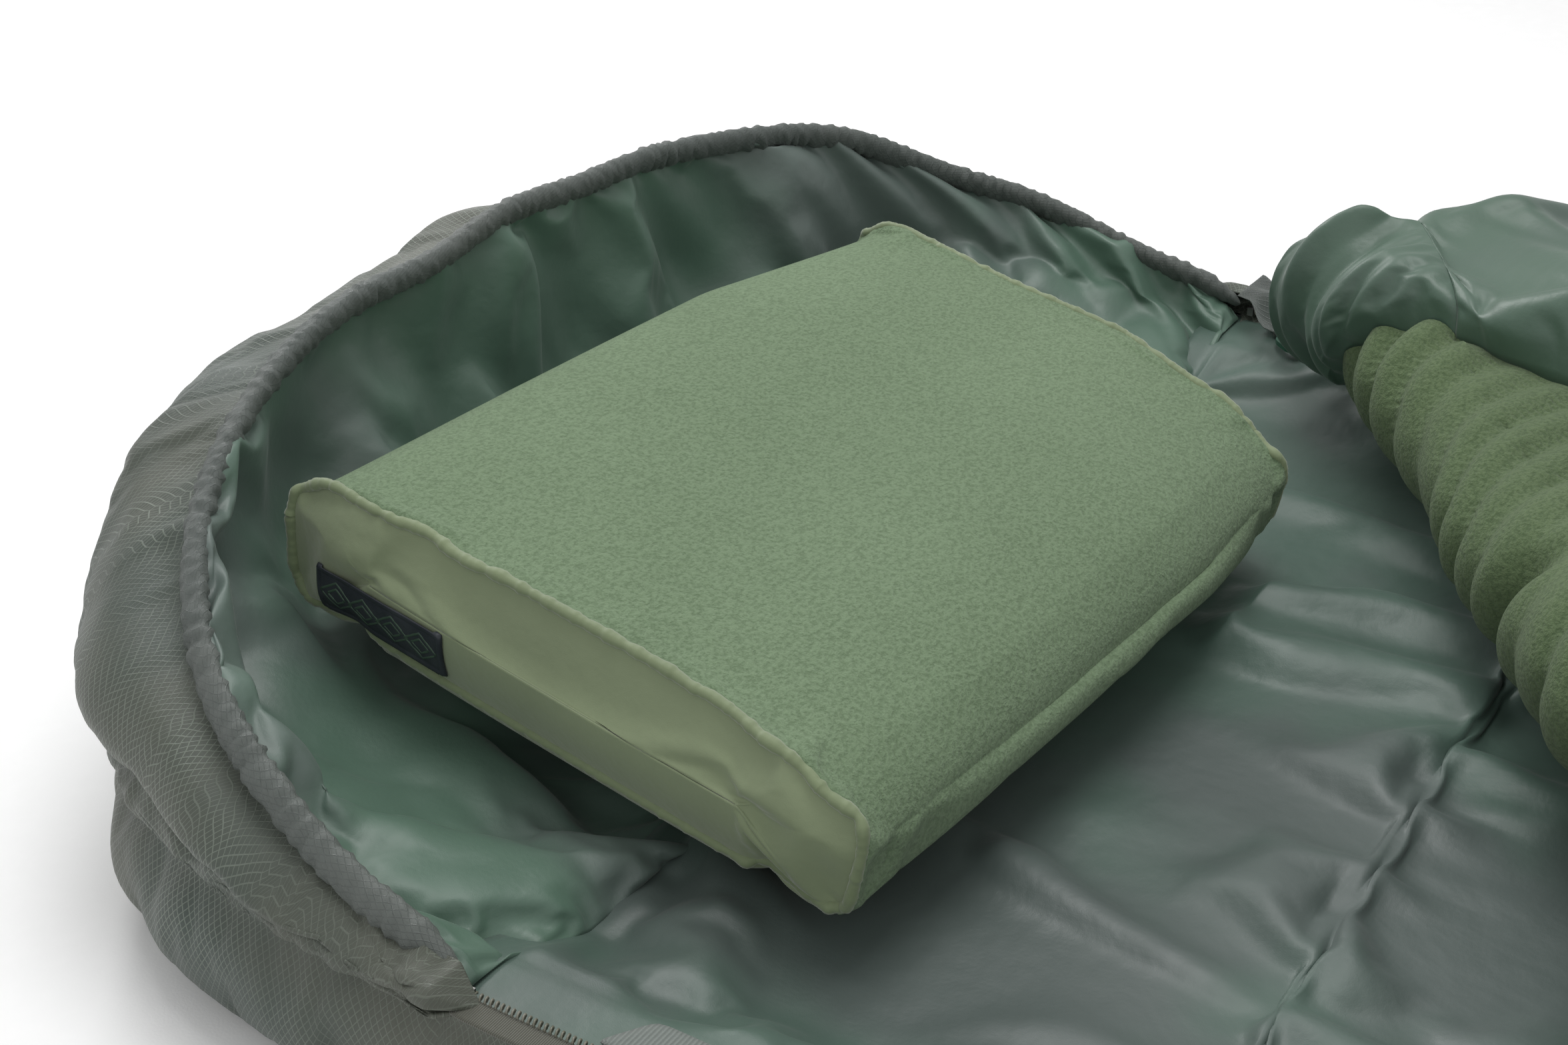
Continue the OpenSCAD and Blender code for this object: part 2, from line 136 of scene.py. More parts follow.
class Shader:
    """A material under construction: node() adds any node, and paint() finishes the surface."""

    def __init__(self, name):
        self.material = bpy.data.materials.new(name)
        self.material.use_nodes = True
        self.tree = self.material.node_tree
        self.surface = self.tree.nodes["Principled BSDF"]

    def join(self, socket, value):
        if isinstance(value, Wire):
            self.tree.links.new(value.socket, socket)
        else:
            socket.default_value = value

    def node(self, kind, settings=None, *values, out=0, **named):
        node = self.tree.nodes.new(kind)
        for key, value in (settings or {}).items():
            setattr(node, key, value)
        for i, value in enumerate(values):
            self.join(node.inputs[i], value)
        for key, value in named.items():
            self.join(node.inputs[key.replace("_", " ")], value)
        return Wire(self, node.outputs[out])

    def noise(self, place, scale, detail=2.0, roughness=0.5):
        return self.node("ShaderNodeTexNoise", None, Vector=place, Scale=scale, Detail=detail,
                         Roughness=roughness)

    def step(self, value, low, high, to_low=0.0, to_high=1.0):
        return self.node("ShaderNodeMapRange", {"interpolation_type": "SMOOTHSTEP"}, value, low, high,
                         to_low, to_high)

    def mix(self, factor, a, b):
        node = self.tree.nodes.new("ShaderNodeMix")
        node.data_type = "RGBA"
        for socket, value in zip((node.inputs["Factor"], node.inputs[6], node.inputs[7]), (factor, a, b)):
            self.join(socket, value)
        return Wire(self, node.outputs[2])

    def bump(self, height, strength, depth, under=None):
        named = {"Strength": strength, "Distance": depth, "Height": height}
        if under is not None:
            named["Normal"] = under
        return self.node("ShaderNodeBump", None, **named)

    def paint(self, **named):
        for key, value in named.items():
            self.join(self.surface.inputs[key.replace("_", " ")], value)
        return self.material


def rgb(red, green, blue):
    return (red, green, blue, 1.0)


print("shader tools ready")

# %% [markdown]
# ## The cloths
# Ripstop is a fine plain weave with thicker threads that cross as small diamonds; on the shell those threads
# are painted lighter than the cloth, a painted sheen over the real grid. It is drawn in the cloth's own flat
# coordinates, in metres, so the grid follows every fold. Satin is smooth: its character is a sharp sheen, so
# it mostly needs a low roughness and a slow drift of colour. Fleece is the opposite: no shine, a felted nap
# that a fine bump and a soft sheen give, with painted shade in the pits of the nap.

# %% Ripstop, satin and fleece
RIP_PITCH, THREAD_PITCH = 0.0038, 0.0006


def ripstop(name, dark, light, line):
    cloth = Shader(name)
    flat = cloth.node("ShaderNodeUVMap", {"uv_map": "cloth"})
    split = cloth.tree.nodes.new("ShaderNodeSeparateXYZ")
    cloth.join(split.inputs[0], flat)
    across, along = Wire(cloth, split.outputs[0]), Wire(cloth, split.outputs[1])
    lines = None
    for slant in (across + along * 0.62, across - along * 0.62):
        cells = slant * (1 / RIP_PITCH)
        turn = cells.math("PINGPONG", cells, 0.5)
        thread = cloth.step(turn, 0.38, 0.47)
        lines = thread if lines is None else lines.math("MAXIMUM", lines, thread)
    weft, warp = across * (2 * math.pi / THREAD_PITCH), along * (2 * math.pi / THREAD_PITCH)
    weave = weft.math("SINE", weft) * warp.math("SINE", warp)
    place = cloth.node("ShaderNodeTexCoord", out=3)
    drift = cloth.step(cloth.noise(place, 6.0, 3.0), 0.35, 0.65)
    fade = cloth.step(cloth.noise(place, 14.0, 2.0), 0.3, 0.7, 0.35, 1.0)
    base = cloth.mix(drift, dark, light)
    colour = cloth.mix(lines * fade * 0.55, base, line)
    pucker = cloth.noise(place, 60.0, 3.0, 0.55)
    normal = cloth.bump(lines * 0.6 + weave * 0.12 + pucker * 1.6, 0.5, 0.0008)
    return cloth.paint(Base_Color=colour, Roughness=cloth.step(lines, 0, 1, 0.52, 0.40), Normal=normal,
                       Specular_IOR_Level=0.55, Sheen_Weight=0.08, Sheen_Roughness=0.4)


def satin(name, grey, green, rough=0.47):
    cloth = Shader(name)
    place = cloth.node("ShaderNodeTexCoord", out=3)
    drift = cloth.step(cloth.noise(place, 5.0, 3.0), 0.40, 0.60)
    crease = cloth.noise(place, 24.0, 4.0, 0.55)
    fine = cloth.noise(place, 95.0, 2.0, 0.5)
    weave = cloth.noise(place, 1400.0, 1.0)
    normal = cloth.bump(crease * 1.0 + fine * 0.16, 0.38, 0.004)
    normal = cloth.bump(weave, 0.16, 0.0004, under=normal)
    colour = cloth.mix(drift, grey, green)
    return cloth.paint(Base_Color=colour, Roughness=cloth.step(crease, 0.3, 0.7, rough - 0.04, rough + 0.05),
                       Normal=normal, Specular_IOR_Level=0.62, Sheen_Weight=0.10, Sheen_Roughness=0.4)


def fleece(name, low, high, nap=1.0):
    cloth = Shader(name)
    place = cloth.node("ShaderNodeTexCoord", out=3)
    felt = cloth.noise(place, 400.0, 4.0, 0.65)
    clumps = cloth.noise(place, 150.0, 2.0, 0.5)
    worn = cloth.step(cloth.noise(place, 7.0, 2.0), 0.3, 0.7)
    height = felt * 0.8 + clumps * 0.3
    # The nap's low spots are painted darker than its raised tufts: painted shade in the pits of the bump.
    pit_shade = cloth.step(felt, 0.36, 0.60)
    colour = cloth.mix(pit_shade * 0.58 + worn * 0.15 + 0.20, low, high)
    return cloth.paint(Base_Color=colour, Roughness=0.95, Normal=cloth.bump(height, 0.9 * nap, 0.0026),
                       Specular_IOR_Level=0.1, Sheen_Weight=0.12, Sheen_Roughness=0.6)


# The shell's grid lines are painted lighter than its cloth: the grid is the real pattern, and its light
# colour is painted sheen of the thick threads.
SHELL = ripstop("ripstop_shell", rgb(0.044, 0.063, 0.052), rgb(0.076, 0.084, 0.064), rgb(0.22, 0.26, 0.21))
BAND = ripstop("rim_ripstop", rgb(0.082, 0.098, 0.090), rgb(0.098, 0.112, 0.102), rgb(0.050, 0.060, 0.056))
# Lining, hood and baffle satin are one fabric in three copies: the hood's copy is painted lighter as painted
# light, and the floor's and the baffle's copies are painted darker as painted shade.
FLOOR_SATIN_PAINTED_SHADE = satin("lining_satin", rgb(0.076, 0.100, 0.092), rgb(0.070, 0.118, 0.094))
HOOD_SATIN_PAINTED_LIGHT = satin("hood_satin", rgb(0.104, 0.138, 0.124), rgb(0.088, 0.156, 0.115), 0.45)
BAFFLE_SATIN_PAINTED_SHADE = satin("baffle_satin", rgb(0.070, 0.108, 0.088), rgb(0.062, 0.115, 0.080), 0.46)
PILLOW_FLEECE = fleece("pillow_fleece", rgb(0.105, 0.160, 0.085), rgb(0.195, 0.275, 0.165))
LID_FLEECE = fleece("lid_fleece", rgb(0.062, 0.100, 0.044), rgb(0.125, 0.178, 0.088))
print("cloths mixed")

# %% Plain weave, zip, webbing, metal and rubber


def plain_weave(name, colour, shade):
    cloth = Shader(name)
    place = cloth.node("ShaderNodeTexCoord", out=3)
    threads = cloth.noise(place, 1500.0, 2.0)
    creases = cloth.noise(place, 38.0, 3.0, 0.6)
    drift = cloth.step(cloth.noise(place, 9.0, 2.0), 0.3, 0.7)
    normal = cloth.bump(creases, 0.45, 0.003)
    normal = cloth.bump(threads, 0.3, 0.0003, under=normal)
    return cloth.paint(Base_Color=cloth.mix(drift, shade, colour), Roughness=0.62, Normal=normal,
                       Specular_IOR_Level=0.35, Sheen_Weight=0.35)


def ribbed(name, colour, groove, pitch, rough=0.7):
    tape = Shader(name)
    flat = tape.node("ShaderNodeUVMap", {"uv_map": "cloth"})
    split = tape.tree.nodes.new("ShaderNodeSeparateXYZ")
    tape.join(split.inputs[0], flat)
    run = Wire(tape, split.outputs[0])
    wave = run.math("SINE", run * (2 * math.pi / pitch))
    place = tape.node("ShaderNodeTexCoord", out=3)
    fuzz = tape.noise(place, 900.0, 2.0)
    ribs = wave * 0.5 + 0.5
    # The colour follows the ribs' bump: the tops are lighter and the grooves are painted darker as painted
    # shade, with a random fuzz over it.
    return tape.paint(Base_Color=tape.mix(ribs * 0.6 + fuzz * 0.4, groove, colour), Roughness=rough,
                      Normal=tape.bump(ribs + fuzz * 0.6, 0.7, 0.0005), Sheen_Weight=0.2)


def moulded(name, colour, worn, rough, metal=0.0, grain=700.0):
    stuff = Shader(name)
    place = stuff.node("ShaderNodeTexCoord", out=3)
    speckle = stuff.noise(place, grain, 3.0)
    smear = stuff.noise(place, 60.0, 2.0)
    return stuff.paint(Base_Color=stuff.mix(stuff.step(smear, 0.4, 0.7), colour, worn), Metallic=metal,
                       Roughness=stuff.step(smear, 0.3, 0.7, rough - 0.05, rough + 0.08),
                       Normal=stuff.bump(speckle, 0.25, 0.0003))


OLIVE = plain_weave("olive_polyester", rgb(0.235, 0.285, 0.165), rgb(0.205, 0.250, 0.145))
PIPING = plain_weave("piping_cloth", rgb(0.205, 0.255, 0.140), rgb(0.170, 0.215, 0.115))
TAPE = ribbed("zip_tape", rgb(0.105, 0.108, 0.080), rgb(0.055, 0.056, 0.042), 0.0011)
WEBBING = ribbed("webbing", rgb(0.205, 0.235, 0.215), rgb(0.110, 0.128, 0.118), 0.0022)
COIL = moulded("zip_coil", rgb(0.150, 0.148, 0.112), rgb(0.190, 0.185, 0.150), 0.35)
GUNMETAL = moulded("gunmetal", rgb(0.160, 0.160, 0.155), rgb(0.26, 0.26, 0.25), 0.38, metal=0.9)
GREEN = moulded("green_rubber", rgb(0.010, 0.085, 0.045), rgb(0.016, 0.105, 0.060), 0.42)
LABEL = moulded("label_rubber", rgb(0.018, 0.022, 0.030), rgb(0.030, 0.036, 0.044), 0.5)
LABEL_MARK = moulded("label_pattern", rgb(0.040, 0.075, 0.050), rgb(0.048, 0.088, 0.058), 0.5)
ELASTIC = ribbed("elastic", rgb(0.03, 0.03, 0.03), rgb(0.012, 0.012, 0.012), 0.0015)
print("trims mixed")

# %% [markdown]
# ## Cloth as a grid
# Every panel starts as a grid of points, rows by columns, with its flat coordinates kept as a UV map. A grid
# is easy to pin along any seam, to send through a cloth simulation, and to cut into separate pieces.

# %% Grids, folds and the cloth simulation


def quads(rows, cols, wrap):
    j, i = np.mgrid[0:rows - 1, 0:cols if wrap else cols - 1]
    k = (i + 1) % cols
    return np.stack([j * cols + i, j * cols + k, (j + 1) * cols + k, (j + 1) * cols + i], -1)


def laid_flat(points, wrap=False):
    """The cloth's own coordinates: run along the columns, and along the rows."""
    if wrap:
        points = np.concatenate([points, points[:, :1]], 1)
    steps = np.linalg.norm(np.diff(points, axis=1), axis=2).mean(0)
    run = np.concatenate([[0], np.cumsum(steps)])[None, :].repeat(len(points), 0)
    rise = np.zeros(points.shape[:2])
    rise[1:] = np.cumsum(np.linalg.norm(np.diff(points, axis=0), axis=2), 0)
    return np.stack([run, rise], -1)


def panel(name, points, finish, wrap=False, flat=None, thick=0.0, smooth=1, flip=False):
    """A cloth piece from a grid of points, rows x columns x 3."""
    rows, cols = points.shape[:2]
    flat = laid_flat(points, wrap) if flat is None else flat
    faces = quads(rows, cols, wrap)
    j, i = np.mgrid[0:rows - 1, 0:cols if wrap else cols - 1]
    corners = np.stack([flat[j, i], flat[j, i + 1], flat[j + 1, i + 1], flat[j + 1, i]], 2)
    if flip:
        faces, corners = faces[..., ::-1], corners[:, :, ::-1]
    mesh = bpy.data.meshes.new(name)
    mesh.from_pydata(points.reshape(-1, 3).tolist(), [], faces.reshape(-1, 4).tolist())
    mesh.uv_layers.new(name="cloth").data.foreach_set("uv", corners.astype(float).ravel())
    return dress(name, mesh, finish, thick, smooth)


def dress(name, mesh, finish, thick=0.0, smooth=0):
    """Turns a mesh into a smooth-shaded piece with a finish."""
    piece = bpy.data.objects.new(name, mesh)
    bpy.context.collection.objects.link(piece)
    mesh.materials.append(finish)
    mesh.polygons.foreach_set("use_smooth", [True] * len(mesh.polygons))
    if smooth:
        soft = piece.modifiers.new("smooth", "SUBSURF")
        soft.levels = soft.render_levels = smooth
    if thick:
        skin = piece.modifiers.new("cloth thickness", "SOLIDIFY")
        skin.thickness, skin.offset = thick, -1
    return piece


def waves(x, y, size, seed, count=10):
    """Smooth random hills, about -1 to 1, each about size across."""
    dice = np.random.default_rng(seed)
    total = np.zeros(np.broadcast(x, y).shape)
    for _ in range(count):
        turn, length, phase = dice.uniform(0, 2 * np.pi), size * dice.uniform(0.8, 1.9), dice.uniform(0, 6.3)
        total += np.sin((x * np.cos(turn) + y * np.sin(turn)) * 2 * np.pi / length + phase)
    return total / math.sqrt(count)


def facing(points):
    """Unit normals of a grid."""
    down, side = np.gradient(points, axis=0), np.gradient(points, axis=1)
    out = np.cross(side, down)
    return out / np.maximum(np.linalg.norm(out, axis=2, keepdims=True), 1e-9)


def settle(points, held, grow=0.05, push=1.0, cap=0.02, frames=20, wrap=False, bend=0.3, flip=False):
    """Cloth simulation: the panel is cut larger than its place by grow and pushed out by its wadding."""
    rows, cols = points.shape[:2]
    every = points.reshape(-1, 3)
    _, first, back = np.unique(np.round(every, 5), axis=0, return_index=True, return_inverse=True)
    back = back.ravel()
    faces = [list(dict.fromkeys(face)) for face in back[quads(rows, cols, wrap).reshape(-1, 4)].tolist()]
    faces = [face[::-1] if flip else face for face in faces if len(face) > 2]
    mesh = bpy.data.meshes.new("cut")
    mesh.from_pydata(every[first].tolist(), [], faces)
    piece = bpy.data.objects.new("cut", mesh)
    bpy.context.collection.objects.link(piece)
    pins = piece.vertex_groups.new(name="held")
    pins.add(np.unique(back[held.ravel()]).tolist(), 1.0, "REPLACE")
    cloth = piece.modifiers.new("cloth", "CLOTH")
    rule = cloth.settings
    rule.quality, rule.mass = 4, 0.12
    rule.tension_stiffness = rule.compression_stiffness = 12
    rule.shear_stiffness, rule.bending_stiffness = 4, bend
    rule.vertex_group_mass = "held"
    rule.shrink_min = -grow
    rule.use_pressure = rule.use_pressure_volume = True
    rule.target_volume, rule.uniform_pressure_force = 0.0, push
    rule.effector_weights.gravity = 0
    cloth.collision_settings.use_collision = False
    for number in range(1, frames + 1):
        bpy.context.scene.frame_set(number)
    shape = piece.evaluated_get(bpy.context.evaluated_depsgraph_get()).data
    result = np.empty(len(first) * 3)
    shape.vertices.foreach_get("co", result)
    moved = result.reshape(-1, 3)[back] - every
    bpy.data.objects.remove(piece)
    bpy.data.meshes.remove(mesh)
    bpy.context.scene.frame_set(1)
    length = np.linalg.norm(moved, axis=1, keepdims=True)
    moved *= np.tanh(length / cap) * cap / np.maximum(length, 1e-9)
    return (every + moved).reshape(points.shape)


def tube(path, radius, sides=8, closed=False, squash=1.0):
    """A grid of rings along a path; radius may vary along it."""
    path = np.asarray(path, float)
    ahead = np.gradient(path, axis=0)
    if closed:
        ahead = np.roll(path, -1, 0) - np.roll(path, 1, 0)
    ahead /= np.linalg.norm(ahead, axis=1, keepdims=True)
    up = np.tile([0.0, 0.0, 1.0], (len(path), 1))
    side = np.cross(ahead, up)
    side /= np.maximum(np.linalg.norm(side, axis=1, keepdims=True), 1e-6)
    over = np.cross(side, ahead)
    turn = np.arange(sides) * 2 * np.pi / sides
    radius = np.broadcast_to(radius, len(path))[:, None, None]
    return path[:, None] + radius * (np.cos(turn)[None, :, None] * side[:, None] * squash
                                     + np.sin(turn)[None, :, None] * over[:, None])


def sew(piece, body, slot, *nodes, fill=None):
    """Puts a piece in the bag: the body it rides on and the CAD nodes that it stands for; slot, its finish,
    is not used.
    """
    if body:
        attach(piece, body)
    if nodes:
        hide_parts(*nodes)
    return piece


print("grid tools ready")

# %% [markdown]
# ## The bag's outline
# The base is straight along its sides and follows one smooth curve round the hood. Panels are measured in
# from this outline, so the curve is written once and takes an inset.

# %% The outline
base_low, base_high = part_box("base_shell")
half, crown, foot, edge = base_high[0], base_high[1], -base_low[1], base_high[2]
SQUARE = 2.9
CORNER = 0.110
FLOOR = 0.0495
RIM_END, RIM_RISE = 0.100, 0.140


def round_hood(a, inset):
    """The hood's outline at angle a, from the near side (0) over the crown to the far side (pi)."""
    c, s = np.cos(a), np.sin(a)
    x = -(half - inset) * np.sign(c) * np.abs(c) ** (2 / SQUARE)
    return x, (crown - inset) * np.abs(s) ** (2 / SQUARE)


def even_angles(count):
    """Angles at even distances round the hood, and the distance in all."""
    a = np.linspace(0, np.pi, 4001)
    x, y = round_hood(a, 0.03)
    run = np.concatenate([[0], np.cumsum(np.hypot(np.diff(x), np.diff(y)))])
    return np.interp(np.linspace(0, run[-1], count), run, a), run[-1]


def rim_inset(a):
    return 0.021 + 0.040 * np.sin(a)


def rim_height(a):
    return RIM_END + RIM_RISE * np.sin(a)


hood_angles, hood_run = even_angles(260)
print("hood runs", round(hood_run, 3), "m round; rim from", RIM_END, "to", RIM_END + RIM_RISE)


def profile(knots, count):
    """Rows of a panel: a smooth line through knots, each an array over the columns; knots x columns x 3."""
    knots = np.stack(knots)
    where = np.linspace(0, len(knots) - 1, count)
    k = np.clip(where.astype(int), 0, len(knots) - 2)
    t = (where - k)[:, None, None]
    before = knots[np.maximum(k - 1, 0)]
    a, b = knots[k], knots[k + 1]
    after = knots[np.minimum(k + 2, len(knots) - 1)]
    return 0.5 * (2 * a + (b - before) * t + (2 * before - 5 * a + 4 * b - after) * t ** 2
                  + (3 * a - before - 3 * b + after) * t ** 3)


def hood_knot(a, inset, z):
    x, y = round_hood(a, inset)
    return np.stack([x, y, np.broadcast_to(z, a.shape)], -1)


# %% [markdown]
# ## Hood, outside
# The outside of the hood is quilted in two tiers. The upper one is fat and hangs over the seam below it. The
# panel is drawn tight, pinned along its seams, cut a little too large, and blown out by a simulation: the
# extra cloth gathers into short creases along the seams, as it does over real wadding.

# %% Hood, outside
TIER = 0.36


def hood_outside():
    a = hood_angles
    ri, rise = rim_inset(a), rim_height(a) - 0.003 - edge
    fat = 0.35 + 0.65 * np.sin(a) ** 0.35
    knots = [hood_knot(a, inset, edge + share * rise) for inset, share in (
        (0.003, 0.0), (-0.009 * fat, 0.12), (-0.011 * fat, 0.24), (0.003, TIER),
        (-0.013 * fat, 0.46), (-0.019 * fat, 0.62), (-0.010 * fat + 0.10 * ri, 0.84),
        (0.42 * ri - 0.006, 0.955), (ri - 0.003, 1.0))]
    points = profile(knots, 49)
    row = np.arange(49)[:, None] * np.ones(len(a))
    seam = 18
    held = (row == 0) | (row == seam) | (row == 48)
    held[:, 0] = held[:, -1] = True
    points = settle(points, held, grow=0.075, push=0.9, cap=0.012, flip=False, bend=0.15)
    along = np.linspace(0, hood_run, len(a))[None, :]
    near_seam = np.exp(-np.minimum(abs(row - seam), abs(row - 0)) / 3.0)
    gather = waves(along / 0.016, row * 0.03, 1.0, 11) * 0.0022 * near_seam
    soft = waves(along, row * 0.004, 0.09, 12) * 0.003 * np.sin(np.pi * np.clip(row / 48, 0, 1))
    points = points + facing(points) * (gather + soft)[..., None] * -1
    return closed_ends(points, np.array([0.458, -0.016, 0.0815]), 4)


def closed_ends(points, tip, count):
    """Adds columns at both ends that draw the panel down to a point by the zip top."""
    near, far = tip * [-1, 1, 1], tip
    pull = np.sin(np.linspace(0, np.pi / 2, count + 1))[1:][None, :, None]
    first = points[:, :1] + (near - points[:, :1]) * (1 - np.sqrt(1 - pull ** 2))
    last = points[:, -1:] + (far - points[:, -1:]) * (1 - np.sqrt(1 - pull ** 2))
    return np.concatenate([first[:, ::-1], points, last], 1)


hood_shape = hood_outside()
hood_panel = panel("hood_outside", hood_shape, SHELL, thick=0.0012)
sew(hood_panel, "base", "ripstop_shell", "hood_shell", "hood_fill", fill=0.7)
print("hood outside:", hood_shape.shape)

# %% [markdown]
# ## Rim channel
# A strip of ripstop folded over elastic. The elastic is shorter than the strip, so the strip ruffles: its
# width swells and pinches every 12 to 15 mm, and it wanders a little.

# %% Rim channel
RUFFLE = 0.013


def rim_channel():
    a, run = even_angles(640)
    along = np.linspace(0, run, len(a))
    wander = waves(along, 0, 0.16, 21) * 0.0016
    x, y = round_hood(a, rim_inset(a) - 0.002 + wander)
    path = np.stack([x, y, rim_height(a) + waves(along, 0, 0.11, 22) * 0.0018], -1)
    ahead = np.gradient(path, axis=0)
    ahead /= np.linalg.norm(ahead, axis=1, keepdims=True)
    out = np.cross(ahead, [0, 0, 1.0])
    out /= np.linalg.norm(out, axis=1, keepdims=True)
    out = np.where((out[:, :1] * path[:, :1] + out[:, 1:2] * (path[:, 1:2] + 0.1)) > 0, out, -out)
    up = np.cross(out, ahead) * np.sign(np.cross(out, ahead)[:, 2:3])
    turn = np.arange(20) * 2 * np.pi / 20
    phase = along / RUFFLE * 2 * np.pi + waves(along, 0, 0.04, 23) * 3.5
    uneven = (1 + 0.8 * waves(along, 0, 0.06, 25))[:, None]
    ruffle = np.sin(phase[:, None] + 1.4 * np.sin(turn)[None, :]) * 0.00055 * uneven
    ruffle = ruffle + 0.0006 * waves(along[:, None] / 0.006, turn[None, :], 1.0, 24)
    wide, tall = 0.0064 + ruffle, 0.0092 + ruffle * 0.8
    lean = math.radians(24)
    ends = np.sqrt(np.clip(np.minimum(along, run - along) / 0.022, 0, 1))[:, None] * 0.92 + 0.08
    path[:, 2] -= 0.010 * (1 - np.clip(np.minimum(along, run - along) / 0.05, 0, 1)) ** 2
    u = np.cos(turn)[None, :] * wide * ends
    v = np.sin(turn)[None, :] * tall * ends
    across, rise = u * math.cos(lean) - v * math.sin(lean), u * math.sin(lean) + v * math.cos(lean)
    return path[:, None] + across[..., None] * out[:, None] + rise[..., None] * up[:, None]


def rim_elastic():
    """The cord of elastic inside the channel; it stops short of both of its ends."""
    a = even_angles(300)[0][6:-6]
    x, y = round_hood(a, rim_inset(a) - 0.002)
    return tube(np.stack([x, y, rim_height(a)], -1), 0.0026, sides=8)


elastic = panel("rim_elastic_cord", rim_elastic(), ELASTIC, wrap=True, smooth=0)
sew(elastic, "base", "black_elastic", "rim_elastic")
rim_shape = rim_channel()
rim_piece = panel("rim_band", rim_shape, BAND, wrap=True, smooth=0)
sew(rim_piece, "base", "ripstop_shell", "rim_channel", fill=0.5)
print("rim band:", rim_shape.shape)

# %% [markdown]
# ## Satin lining of the head end
# One lining falls from the rim, over the hood's padded wall and on to the floor. It is much larger than the
# wall it covers, so it hangs in deep soft folds. Columns run round the rim and rows run inwards, to a short
# line under the pillow; the two end columns and that line are the first quilting seam.

# %% Head lining
ROWS_HEAD = 78


def edge_profile(x):
    """Height of the lining across the bag: flat floor, then over the padded edge."""
    return FLOOR + (edge - FLOOR) * np.clip((np.abs(x) - 0.355) / (0.418 - 0.355), 0, 1) ** 1.3


def head_lining():
    a = hood_angles
    ri, rise = rim_inset(a), rim_height(a) - FLOOR
    shape = ((-0.002, 1.0), (0.005, 0.94), (0.012, 0.84), (0.019, 0.62), (0.026, 0.40), (0.040, 0.20),
             (0.062, 0.055), (0.090, 0.0))
    knots = [hood_knot(a, ri + inset, FLOOR + share * rise) for inset, share in shape]
    middle = np.stack([-0.15 * np.cos(a), np.zeros(len(a)), np.full(len(a), FLOOR)], -1)
    last = knots[-1]
    knots += [last + (middle - last) * share for share in (0.16, 0.34, 0.55, 0.78, 1.0)]
    points = profile(knots, ROWS_HEAD)
    points[:, 0, 1] = points[:, -1, 1] = 0.0
    points[-1] = middle
    held = np.zeros(points.shape[:2], bool)
    held[0] = held[-1] = held[:, 0] = held[:, -1] = True
    row = np.arange(ROWS_HEAD)[:, None] / ROWS_HEAD
    along = np.linspace(0, hood_run, len(a))[None, :]
    to_end = np.exp(-np.minimum(along, hood_run - along) / 0.022)
    points[..., 2] += (edge_profile(points[..., 0]) - points[..., 2]) * to_end
    loose = np.sin(np.pi * np.clip(row / 0.62, 0, 1)) * np.sin(np.pi * np.clip(along / hood_run, 0, 1)) ** 0.3
    drape = (waves(along + row * 0.15, row * 0.35, 0.14, 31) * 0.014
             + waves(along, row * 0.5, 0.06, 32) * 0.004)
    points = points + facing(points) * (loose * drape)[..., None]
    return settle(points, held, grow=0.13, push=0.35, cap=0.030, flip=True, bend=1.6, frames=24)


head_shape = head_lining()
print("head lining:", head_shape.shape)

# %% [markdown]
# ## Pillow
# A box pillow: fleece wraps over the top, the head end and the foot end; smooth side panels are shaped like a
# lens with blunt corners; the underside is smooth too. Here it is one closed grid, whose ends close over the
# side panels, blown up as one bag. It is cut into its panels afterwards, and the piping follows the seams
# where the simulation left them.

# %% Pillow shape
PILLOW_AT = np.array([-0.050, 0.054, 0.0745])
PILLOW_TURN, PILLOW_TILT = math.radians(-4), math.radians(8)
HALF_W, HALF_L, TALL = 0.247, 0.187, 0.112
SIDE_MIDDLE, SIDE_HALF = 0.0625, 0.0385
CAP_RINGS, CROSS_RINGS = 14, 78


def place_pillow(local):
    """From the pillow's own axes to its place in the hood."""
    x, y, z = local[..., 0], local[..., 1], local[..., 2]
    y2 = y * math.cos(PILLOW_TILT) - z * math.sin(PILLOW_TILT)
    z2 = y * math.sin(PILLOW_TILT) + z * math.cos(PILLOW_TILT)
    x3 = x * math.cos(PILLOW_TURN) - y2 * math.sin(PILLOW_TURN)
    y3 = x * math.sin(PILLOW_TURN) + y2 * math.cos(PILLOW_TURN)
    return np.stack([x3, y3, z2], -1) + PILLOW_AT


def pillow_sections():
    """The side panel's outline and the fat middle section, as (y, z) at each turn."""
    turn = (np.arange(176) + 0.5) * 2 * np.pi / 176
    c, s = np.cos(turn), np.sin(turn)

    def rounded(half_length, half_height, middle, power):
        """A rectangle with rounded corners, as (y, z) at each turn."""
        y = half_length * np.sign(c) * np.abs(c) ** (2 / power)
        z = middle + half_height * np.sign(s) * np.abs(s) ** (2 / power)
        return np.stack([y, z], -1)

    panel_edge = rounded(HALF_L, SIDE_HALF, SIDE_MIDDLE, 5.5)
    along = panel_edge[:, 0] / HALF_L
    panel_edge[:, 1] += np.where(s > 0, 0.006 * (1 - along ** 2) - 0.010 * np.clip(-along - 0.75, 0, 1), 0.0)
    full = rounded(HALF_L + 0.006, TALL / 2, TALL / 2, 3.2)
    return turn, panel_edge, full


